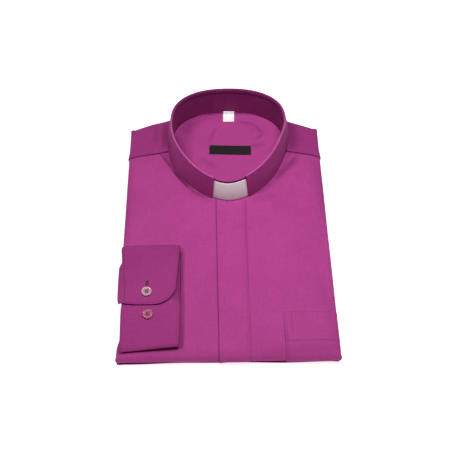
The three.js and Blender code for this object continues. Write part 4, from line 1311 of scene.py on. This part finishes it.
def make_cuff():
    """Columns from left to right; each layer has its own right edge, the flap wraps over the
    left side fold, and the wall thins to a round at every free edge."""
    fine = np.array([0.0, 0.004, 0.008])
    share = np.concatenate([
        fine, np.linspace(0.012, 0.20, 20)[:-1], np.linspace(0.20, 0.955, 34)[:-1],
        np.linspace(0.955, 0.992, 9), 1 - fine[::-1],
    ])[:, None]
    x, flap_x = blend(CUFF_LEFT, CUFF_RIGHT, share), blend(FLAP_LEFT, CUFF_RIGHT, share)
    y, lift, part, wrapped = cuff_middle(x, flap_x)
    flap, outside = part == 0, part <= 1
    turn = np.clip((WRAP_START - flap_x) / WRAP_RADIUS, 0, None)
    rolled_x = np.maximum(flap_x, WRAP_START) - WRAP_RADIUS * np.sin(turn)
    rolled_x = rolled_x + np.interp(y, *FLAP_OUTLINE.T) * (1 - smooth(flap_x, FLAP_LEFT, -110))
    plain_x = x + np.interp(y, *CUFF_OUTLINE.T) * (1 - share) ** 3
    reach = (CUFF_UNDER_RIGHT - CUFF_RIGHT) * (part >= 2)
    plan_x = blend(plain_x, rolled_x, wrapped) + (flap_slant(y) * outside + reach) * share ** 2
    from_crease = plan_x - crease_line(y)
    puff = PUFF * np.sin(share * math.pi) * np.sin(np.clip((-y - 22) / 78, 0, 1) * math.pi) * flap
    lifted = FOOT_OPEN * smooth(-y, 112, 150) * share ** 2 * (part >= 3)
    lip = LIP * smooth(-y, 84, 101) * flap * (0.5 + 0.5 * np.sin(x / 9 + 2))
    pinch = PINCH * smooth(share, 0.8, 1.0) * outside * (1 - smooth(-y, 24, 60))
    lift = lift - wrapped * WRAP_RADIUS * (1 - np.cos(turn)) + puff + lifted + lip - pinch
    lift = lift - CREASE_DEPTH * bell(from_crease, 0.8) * flap
    run = run_across(y, lift)
    from_side = np.minimum(share, 1 - share) * (CUFF_RIGHT - CUFF_LEFT)
    from_edge = np.minimum(np.minimum(run, run[:, -1:] - run), from_side)
    edge_row = bell(from_edge - EDGE_ROW, 0.5)
    middle = np.stack([plan_x, y, body_top(plan_x, CUFF_MIDDLE) + lift], -1)
    outer, inner = walled(middle, CUFF_WALL / 2 * edge_round(from_edge, 0.75))
    outer[..., 2] -= ROW_DEPTH * edge_row * (plan_x > -118) * flap
    arrays = shell_arrays(outer, inner, np.stack([plan_x, run], -1))
    piece = make_piece("shirt_cuff", [arrays], doubled_shaded_cloth)
    # Painted shade: along the edges and the row of stitches, in the flap's crease, over the cuff's upper
    # part, and the flap's painted shadow on the lower layers' strip at its right.
    edges = 0.5 * (1 - smooth(from_edge, 0.0, 0.8)) + 0.22 * edge_row
    creased = 0.4 * bell(from_crease, 0.7) * flap * smooth(-y, 24, 50)
    top_shade = 0.14 * (1 - smooth(-y, 22, 78)) * outside
    covered = 0.5 * smooth(plan_x, -66, -60) * (1 - smooth(-y, 84, 104)) * (part >= 2)
    mark(piece, "painted_shade", edges + creased + top_shade + covered)
    return piece


cuff = settle(make_cuff(), "cuff")

# %% [markdown]
# ## Sleeve
#
# Only a short stretch of the right sleeve shows, where it turns round the body's side towards
# the cuff. Its section hugs that side from the top cloth to the table.

# %% Sleeve
SLEEVE_TOP, SLEEVE_BOTTOM, SLEEVE_SLANT = -27.0, -95.0, 0.75
SLEEVE_TUCK, ABOVE_NOTCH = 1.4, 2.4    # it draws in at both ends, and above the cuff's notch
SLEEVE_SECTION = np.array([
    # outer x, outer z, inner x, inner z
    (-121.0, 20.2, -121.0, 18.8), (-122.6, 19.5, -122.2, 18.2), (-123.9, 18.2, -123.2, 17.2),
    (-124.8, 16.4, -123.9, 15.8), (-125.8, 14.0, -124.6, 13.6), (-126.8, 11.0, -125.5, 10.8),
    (-127.0, 6.0, -125.7, 6.0), (-126.6, 2.4, -125.4, 3.2), (-124.6, 0.1, -123.8, 1.5),
    (-118.0, 0.1, -118.0, 1.5), (-110.0, 0.1, -110.0, 1.5), (-100.0, 0.1, -100.0, 1.5),
])


def make_sleeve():
    """A section table drawn through smoothly, carried along Y, with slow waves down its side."""
    y = edge_places(SLEEVE_BOTTOM, SLEEVE_TOP, 2.0, 1.2)[:, None]
    lines = [through_points(SLEEVE_SECTION[:, k:k + 2], 6) for k in (0, 2)]
    run = run_along(lines[0])[None]
    side = smooth(lines[0][:, 1], 1, 6)[None]
    wave = (0.3 * np.sin(y / 13 + 0.7) + 0.2 * np.sin(y / 5.7)) * side
    end = np.minimum(y - SLEEVE_BOTTOM, SLEEVE_TOP - y)
    above_notch = ABOVE_NOTCH * (1 - smooth(-y, 40, 50))
    tuck = (SLEEVE_TUCK * (1 - smooth(end, 0, 6)) + above_notch) * side
    keep = edge_round(np.minimum(end, np.minimum(run, run[:, -1:] - run)), 0.7)[..., None]
    faces = []
    for x, z in (line.T for line in lines):
        slanted = y + SLEEVE_SLANT * smooth(-y, 60, 96) * (18 - z)
        faces.append(np.stack(np.broadcast_arrays(x + wave + tuck, slanted, z), -1))
    middle = (faces[0] + faces[1]) / 2
    outer, inner = (blend(middle, face, keep) for face in faces)
    flat = np.stack(np.broadcast_arrays(run, y), -1)
    return make_piece("shirt_sleeve_right", [shell_arrays(outer, inner, flat)], body_cloth)


sleeve = settle(make_sleeve(), "sleeve_right")

# %% [markdown]
# ## Buttons
#
# Four-hole shirt buttons, 11.6 mm across: a dished middle inside a raised round rim. Each is a
# disc worked out on rings and spokes, its four holes pressed as deep pits. Dark thread crosses
# between the holes, and painted shade darkens each dish. The upper button is a pearly pink; the
# lower is the same pearl, its darker rose painted shade with the cloth's colour reflected in it.

# %% Buttons
BUTTON_HEIGHT, DISH = 2.6, 0.85
BUTTON_RINGS = np.concatenate([
    np.linspace(0.02, 3.6, 26), np.linspace(3.75, 5.2, 9), [5.45, 5.62, 5.74, 5.8],
])
HOLE_PLACES = np.array([(1.5, 1.5), (1.5, -1.5), (-1.5, 1.5), (-1.5, -1.5)])
HOLE_RADIUS, HOLE_DEPTH = 0.85, 1.5
# Each button's dish colour is painted shade inside its dish.
button_pearl = plastic("button_pearl", (0.66, 0.30, 0.46), 0.16, coat=0.9, mottle=0.1, marble=0.6,
                       pale=(0.95, 0.76, 0.86), dish_shade=(0.36, 0.12, 0.23))
# The lower button's darker rose is painted shade with the cloth's colour reflected in it.
button_rose = plastic("button_rose", (0.52, 0.12, 0.21), 0.22, coat=0.7, mottle=0.15, marble=0.5,
                      pale=(0.80, 0.40, 0.50), dish_shade=(0.36, 0.06, 0.13))
BUTTONS = (
    # name, node, x, y, layer under it, material, slot
    ("shirt_cuff_button_1", "cuff_button_1", -92.4, -85.4, LIFT_FLAP, button_pearl, "button_pearl"),
    ("shirt_cuff_button_2", "cuff_button_2", -90.1, -112.8, LIFT_UNDER, button_rose, "button_rose"),
)


def make_button(name, x, y, seat, material):
    """Height by radius: a dished middle, a slope and a rounded rim; less a pit at each hole."""
    angle = np.radians(np.arange(0, 360, 5))[:, None]
    across, along = BUTTON_RINGS * np.cos(angle), BUTTON_RINGS * np.sin(angle)
    rim = DISH * smooth(BUTTON_RINGS, 3.5, 4.5) - 0.9 * smooth(BUTTON_RINGS, 4.9, 5.85) ** 2
    hole = np.hypot(across[..., None] - HOLE_PLACES[:, 0], along[..., None] - HOLE_PLACES[:, 1])
    pit = (1 - smooth(hole, HOLE_RADIUS - 0.25, HOLE_RADIUS + 0.12)).max(-1)
    top = BUTTON_HEIGHT - DISH + rim - HOLE_DEPTH * pit
    bottom = 0.9 * smooth(BUTTON_RINGS, 4.7, 5.8) * np.ones_like(top)
    outer, inner = (np.stack([x + across, y + along, seat + level], -1) for level in (top, bottom))
    arrays = shell_arrays(outer, inner, np.stack([across, along], -1), ring=True)
    return make_piece(name, [arrays], material)


button_seats = []
for name, node, x, y, layer, material, slot in BUTTONS:
    seat = float(body_top(np.array(x), np.array(CUFF_MIDDLE))) + layer + CUFF_WALL / 2 + GAP
    button_seats.append((x, y, seat))
    settle(make_button(name, x, y, seat, material), node)

# %% [markdown]
# ## Size tag and neck label
#
# A small folded tag of white satin stands in the seam at the back of the neck, and a black
# woven label lies below it. Both are left bare. Satin shows fine ribs across the tag and a
# soft gleam from its sheen, and the tag glows faintly with painted light that keeps it white in the
# band's shade; the label is a tight dark ribbon with a turned edge all round.

# %% Tag and label
def ribbon(name, colour, ribs, roughness, sheen, painted_glow=0.0):
    """A narrow woven ribbon: ribs along one way, a fine thread along the other."""
    nodes = Nodes(name)
    uv = nodes.cloth_uv()
    parts = nodes.add("ShaderNodeSeparateXYZ", {"Vector": uv}).outputs
    thread = nodes.maths("MULTIPLY", nodes.wave(parts[0], ribs * 1.7), 0.6)
    nodes.bump(nodes.maths("ADD", nodes.wave(parts[1], ribs), thread), 0.35, 0.0001)
    nodes.into(Base_Color=nodes.mix(nodes.noise(uv, 90.0, detail=3.0), darker(colour, 0.86), colour))
    # A faint glow of painted light, as the ribbon is no lamp.
    nodes.into(Roughness=roughness, Sheen_Weight=sheen, Emission_Color=WHITE, Emission_Strength=painted_glow)
    return nodes.material


tag_satin = ribbon("tag_satin", (0.96, 0.95, 0.94), 2400.0, 0.42, 0.1, painted_glow=0.2)
label_black = ribbon("label_black", (0.007, 0.004, 0.006), 1700.0, 0.85, 0.03)
TAG_X, TAG_WIDTH, TAG_FRONT, TAG_WALL = 6.1, 15.0, 180.0, 0.35
LABEL_PLACE, LABEL_SIZE, LABEL_TURN = (7.3, 132.0), (55.0, 15.0), -0.028


def band_inside(x):
    """Where the inside of the band meets the yoke behind the neck."""
    point, inward, sizes = station(np.linspace(NECK_LENGTH * 0.4, NECK_LENGTH * 0.6, 61))
    line = point + inward * sizes["stand_foot"][:, None]
    order = line[:, 0].argsort()
    return float(np.interp(x, line[order, 0], line[order, 1]))


def make_tag():
    """Two layers of ribbon, along the yoke and up the band, with a soft curl at the front."""
    band = band_inside(TAG_X)
    path = through_points(np.array([
        (TAG_FRONT, 1.5), (TAG_FRONT + 3, 1.0), (TAG_FRONT + 7, 0.8),
        (band - 3.6, 0.9), (band - 1.9, 2.0), (band - 1.5, 6.4),
    ]) + (0, INSIDE_LEVEL), 7)
    ahead = np.gradient(path, axis=0)
    normal = np.stack([-ahead[:, 1], ahead[:, 0]], 1) / np.linalg.norm(ahead, axis=1)[:, None]
    run = run_along(path)
    across = edge_places(-TAG_WIDTH / 2, TAG_WIDTH / 2, 0.9, 0.3)[:, None]
    parts = []
    for shift, low in ((0.0, 0), (0.45, 3)):
        line, out, length = path[low:] + normal[low:] * shift, normal[low:], run[low:]
        curl = 0.25 * (across / 7.5) ** 2 + 0.12 * np.sin(across / 2.3 + shift * 9)
        middle = line + out * curl[..., None] * 0.5
        half = TAG_WALL / 2 * edge_round(np.minimum(length, TAG_WIDTH / 2 - np.abs(across)), 0.3)[..., None]
        x = np.broadcast_to((TAG_X + across + 0.02 * length)[..., None], half.shape)
        outer, inner = (np.concatenate([x, middle + out * side * half], -1) for side in (1, -1))
        parts.append(shell_arrays(outer, inner, np.stack(np.broadcast_arrays(across, length), -1)))
    return make_piece("shirt_size_tag", parts, tag_satin)


def make_label():
    """A plate of ribbon lying on the yoke, its edge turned under all round."""
    across = edge_places(-LABEL_SIZE[0] / 2, LABEL_SIZE[0] / 2, 1.2, 0.5)
    along = edge_places(-LABEL_SIZE[1] / 2, LABEL_SIZE[1] / 2, 0.8, 0.5)
    u, v = np.meshgrid(across, along, indexing="ij")
    x = LABEL_PLACE[0] + u * math.cos(LABEL_TURN) - v * math.sin(LABEL_TURN)
    y = LABEL_PLACE[1] + u * math.sin(LABEL_TURN) + v * math.cos(LABEL_TURN)
    edge = np.minimum(LABEL_SIZE[0] / 2 - np.abs(u), LABEL_SIZE[1] / 2 - np.abs(v))
    half = 0.3 * edge_round(edge, 0.5)
    seam_dip = -0.12 * bell(edge - 1.2, 0.3)
    level = neck_floor_height(x, y) + 0.45
    outer = np.stack([x, y, level + half + seam_dip], -1)
    inner = np.stack([x, y, level - half], -1)
    return make_piece("shirt_neck_label", [shell_arrays(outer, inner, np.stack([u, v], -1))], label_black)


tag = settle(make_tag(), "size_tag")
label = settle(make_label(), "neck_label")

# %% [markdown]
# ## Stitching
#
# Shirt seams are sewn at about three stitches a centimetre where they show. Each row is set out
# as a line on the plan; every stitch is a short round thread that dips into the cloth at both
# ends. The cloth's own height and slope under each stitch are found by looking straight down
# at the finished piece, so a row follows whatever swells and steps it crosses.

# %% Stitch maker
STITCH_PITCH, STITCH_LENGTH, THREAD_RADIUS = 3.0, 2.3, 0.24
THREAD_SIDES, THREAD_STEPS = 6, 5
LOOK_FROM = 0.2                # metres, well above everything
BIGGEST_STEP = 1.2             # no stitch bridges a higher step in the cloth


def look_down(piece, x, y):
    """Top face of a piece at a place on the plan: the point there in millimetres and its normal."""
    start = Vector((x * MM, y * MM, LOOK_FROM))
    hit, point, normal = piece.ray_cast(start, Vector((0, 0, -1)))[:3]
    return (np.array(point) / MM, np.array(normal)) if hit else None


def even_places(line, length):
    """Start and end of each stitch along a plan line: whole pitches, spread evenly."""
    run = run_along(line)
    count = max(1, int(run[-1] // STITCH_PITCH))
    starts = (np.arange(count) + 0.5) * run[-1] / count - length / 2
    return zip(on_line(starts, run, line), on_line(starts + length, run, line))


def thread_arrays(first, last, normal, radius=THREAD_RADIUS, rise=0.22, sink=0.10):
    """Closed threads, one for each row of the arrays: the middle line is an arch over the cloth,
    and rings of points stand round it, smaller at both ends."""
    t = np.linspace(0, 1, THREAD_STEPS)[None, :, None]
    arch = np.sin(t * math.pi)
    along = (last - first) / np.linalg.norm(last - first, axis=-1, keepdims=True)
    across = np.cross(normal, along)
    across /= np.linalg.norm(across, axis=-1, keepdims=True)
    up = np.cross(along, across)
    middle = blend(first[:, None], last[:, None], t) + up[:, None] * (arch * rise - sink)
    angle = np.arange(THREAD_SIDES) * 2 * math.pi / THREAD_SIDES
    ring = np.cos(angle)[:, None] * across[:, None, None] + np.sin(angle)[:, None] * up[:, None, None]
    points = middle[:, :, None] + ring * (radius * (0.45 + 0.55 * arch))[..., None]
    count, size = len(first), THREAD_STEPS * THREAD_SIDES
    i, j = np.meshgrid(np.arange(THREAD_STEPS - 1), np.arange(THREAD_SIDES), indexing="ij")
    i, j, k = i.ravel(), j.ravel(), (j.ravel() + 1) % THREAD_SIDES
    walls = np.stack([i, i, i + 1, i + 1], 1) * THREAD_SIDES + np.stack([j, k, k, j], 1)
    low = np.array([[0, 3, 2, 1], [0, 5, 4, 3]])
    high = np.array([[0, 1, 2, 3], [0, 3, 4, 5]]) + size - THREAD_SIDES
    each = np.concatenate([walls, low, high])
    quads = (each[None] + np.arange(count)[:, None, None] * size).reshape(-1, 4)
    points = points.reshape(-1, 3)
    if signed_volume(points, quads) < 0:
        quads = quads[:, ::-1]
    corner = points[quads]
    return points, quads, corner[..., :2]


def threads_on(piece, pairs, **shape):
    """Threads on a piece between pairs of plan places, each at the height of the cloth there."""
    found = [(look_down(piece, *a), look_down(piece, *b)) for a, b in pairs]
    found = [(a, b) for a, b in found if a and b and abs(a[0][2] - b[0][2]) < BIGGEST_STEP]
    first, last = (np.array([pair[k][0] for pair in found]) for k in (0, 1))
    return thread_arrays(first, last, np.array([a[1] for a, _ in found]), **shape)


def thread_cloth(name, colour):
    """Twisted thread: a fine slanting stripe of light and dark along its own length."""
    nodes = Nodes(name)
    parts = nodes.add("ShaderNodeSeparateXYZ", {"Vector": nodes.cloth_uv()}).outputs
    twist = nodes.wave(nodes.maths("ADD", parts[0], parts[1]), 3200)
    share = nodes.maths("ADD", nodes.maths("MULTIPLY", twist, 0.5), 0.5)
    nodes.into(Base_Color=nodes.mix(share, darker(colour, 0.78), colour), Roughness=0.55, Sheen_Weight=0.1)
    return nodes.material


thread_plum = thread_cloth("thread_plum", (0.30, 0.026, 0.17))
thread_hole = thread_cloth("thread_hole", (0.19, 0.010, 0.11))
# Dark thread for the button thread, also used for the slit's painted shade.
dark_thread_and_slit_shade = thread_cloth("dark_thread_and_slit_shade", (0.10, 0.006, 0.055))


def sewn(name, piece, lines, length=STITCH_LENGTH):
    """Rows of stitches on a piece, along plan lines."""
    pairs = [pair for line in lines for pair in even_places(line, length)]
    return settle(make_piece(name, [threads_on(piece, pairs)], thread_plum), None)


print("stitch maker ready")

# %% [markdown]
# ## Rows of stitches
#
# Rows run 2 mm inside the cuff's edges, along the fly's sewn side, inside the pocket's side
# edge and along its hem, and beside the yoke seam where it isn't hidden by the collar.

# %% Rows
ROW_STEP = 1.0


def plan_line(x, y):
    """Plan places of a row, from arrays or single values."""
    x, y = np.broadcast_arrays(np.asarray(x, float), np.asarray(y, float))
    return np.stack([x, y], -1)


def cuff_rows():
    """Just inside the flap's side, corner and end; down its left crease; and on the lower part."""
    x = np.arange(-117.0, CUFF_RIGHT - EDGE_ROW - 3.3, ROW_STEP)
    end = flap_end(x - FLAP_SLANT - EDGE_ROW * 0.6) + EDGE_ROW
    keep = end < -78
    side_y = np.arange(-27.0, end[keep][-1], -ROW_STEP)
    side = plan_line(CUFF_RIGHT - EDGE_ROW + flap_slant(side_y), side_y)
    round_end = np.concatenate([side, plan_line(x, end)[keep][::-1]])
    lower_y = np.arange(-106.0, -146.0, -ROW_STEP)
    lower = plan_line(CUFF_UNDER_RIGHT - EDGE_ROW - 0.4, lower_y)
    crease_y = np.arange(-46.0, -97.0, -ROW_STEP)
    return [round_end, lower, plan_line(crease_line(crease_y), crease_y)]


stitches_cuff = sewn("shirt_stitches_cuff", cuff, cuff_rows())
placket_y = np.arange(-150.0, 38.0, ROW_STEP)
placket_row = plan_line(PLACKET_RIGHT - SEWN_EDGE + placket_bow(placket_y), placket_y)
stitches_placket = sewn("shirt_stitches_placket", placket, [placket_row])
pocket_y = np.arange(-160.0, POCKET_TOP - 2, ROW_STEP)
pocket_rows = [
    plan_line(POCKET_LEFT + POCKET_EDGE_ROW + POCKET_LEAN * (POCKET_TOP - pocket_y), pocket_y),
    plan_line(POCKET_LEFT + POCKET_INNER_ROW, np.arange(-124.0, POCKET_TOP - 1, ROW_STEP)),
    plan_line(np.arange(POCKET_LEFT + 3, 118, ROW_STEP), POCKET_HEM),
]
stitches_pocket = sewn("shirt_stitches_pocket", pocket, pocket_rows)
yoke_parts = np.arange(-121.0, -79.0, ROW_STEP), np.arange(88.0, 121.0, ROW_STEP)
yoke_rows = [plan_line(x, yoke_seam(x) + 1.9) for x in yoke_parts]
stitches_yoke = sewn("shirt_stitches_yoke", yoke, yoke_rows, length=2.0)

# %% [markdown]
# ## Buttonhole
#
# The buttonhole above the upper button is a slit between two close rows of short stitches, with
# a bar of them across its upper end.

# %% Buttonhole
HOLE_X, HOLE_LOW, HOLE_HIGH = -92.4, -79.4, -72.2
HOLE_ROWS = (0.4, 2.0)        # a row of cross stitches runs from and to this far from the slit


def make_buttonhole():
    """Two close rows of short cross stitches and a bar at the upper end, round a dark slit."""
    heights = np.arange(HOLE_LOW, HOLE_HIGH + 0.01, 0.42)
    pairs = [[(HOLE_X + side * out, y) for out in HOLE_ROWS] for side in (-1, 1) for y in heights]
    pairs += [[(HOLE_X + k, HOLE_HIGH + up) for up in (0.2, 1.4)] for k in np.arange(-1.4, 1.41, 0.4)]
    rows = threads_on(cuff, pairs, radius=0.28, rise=0.35)
    return settle(make_piece("shirt_buttonhole", [rows], thread_hole), None)


def make_slit():
    """The slit itself: one dark lens of painted shade, shaped as a thread, lying between the rows."""
    slit = threads_on(cuff, [((HOLE_X, HOLE_LOW), (HOLE_X, HOLE_HIGH))], radius=0.34, rise=0.06)
    return settle(make_piece("shirt_buttonhole_slit", [slit], dark_thread_and_slit_shade), None)


buttonhole, slit = make_buttonhole(), make_slit()

# %% [markdown]
# ## Button thread
#
# Each button is held by thread through its four holes, which shows on top as a cross.

# %% Button thread
def make_button_thread(name, x, y, seat):
    """Two bars of thread that cross over the middle of a button, from hole to hole."""
    level = np.full(2, seat + BUTTON_HEIGHT - DISH - 0.15)
    ends = [np.column_stack([HOLE_PLACES[holes] + (x, y), level]) for holes in ([3, 1], [0, 2])]
    bars = thread_arrays(*ends, np.tile([0.0, 0.0, 1.0], (2, 1)), radius=0.42, rise=0.5, sink=0.0)
    settle(make_piece(name, [bars], dark_thread_and_slit_shade), None)


for number, (x, y, seat) in enumerate(button_seats, 1):
    make_button_thread(f"shirt_button_thread_{number}", x, y, seat)


# %% [markdown]


# %% [markdown]

# %% Finish
print("shirt built")
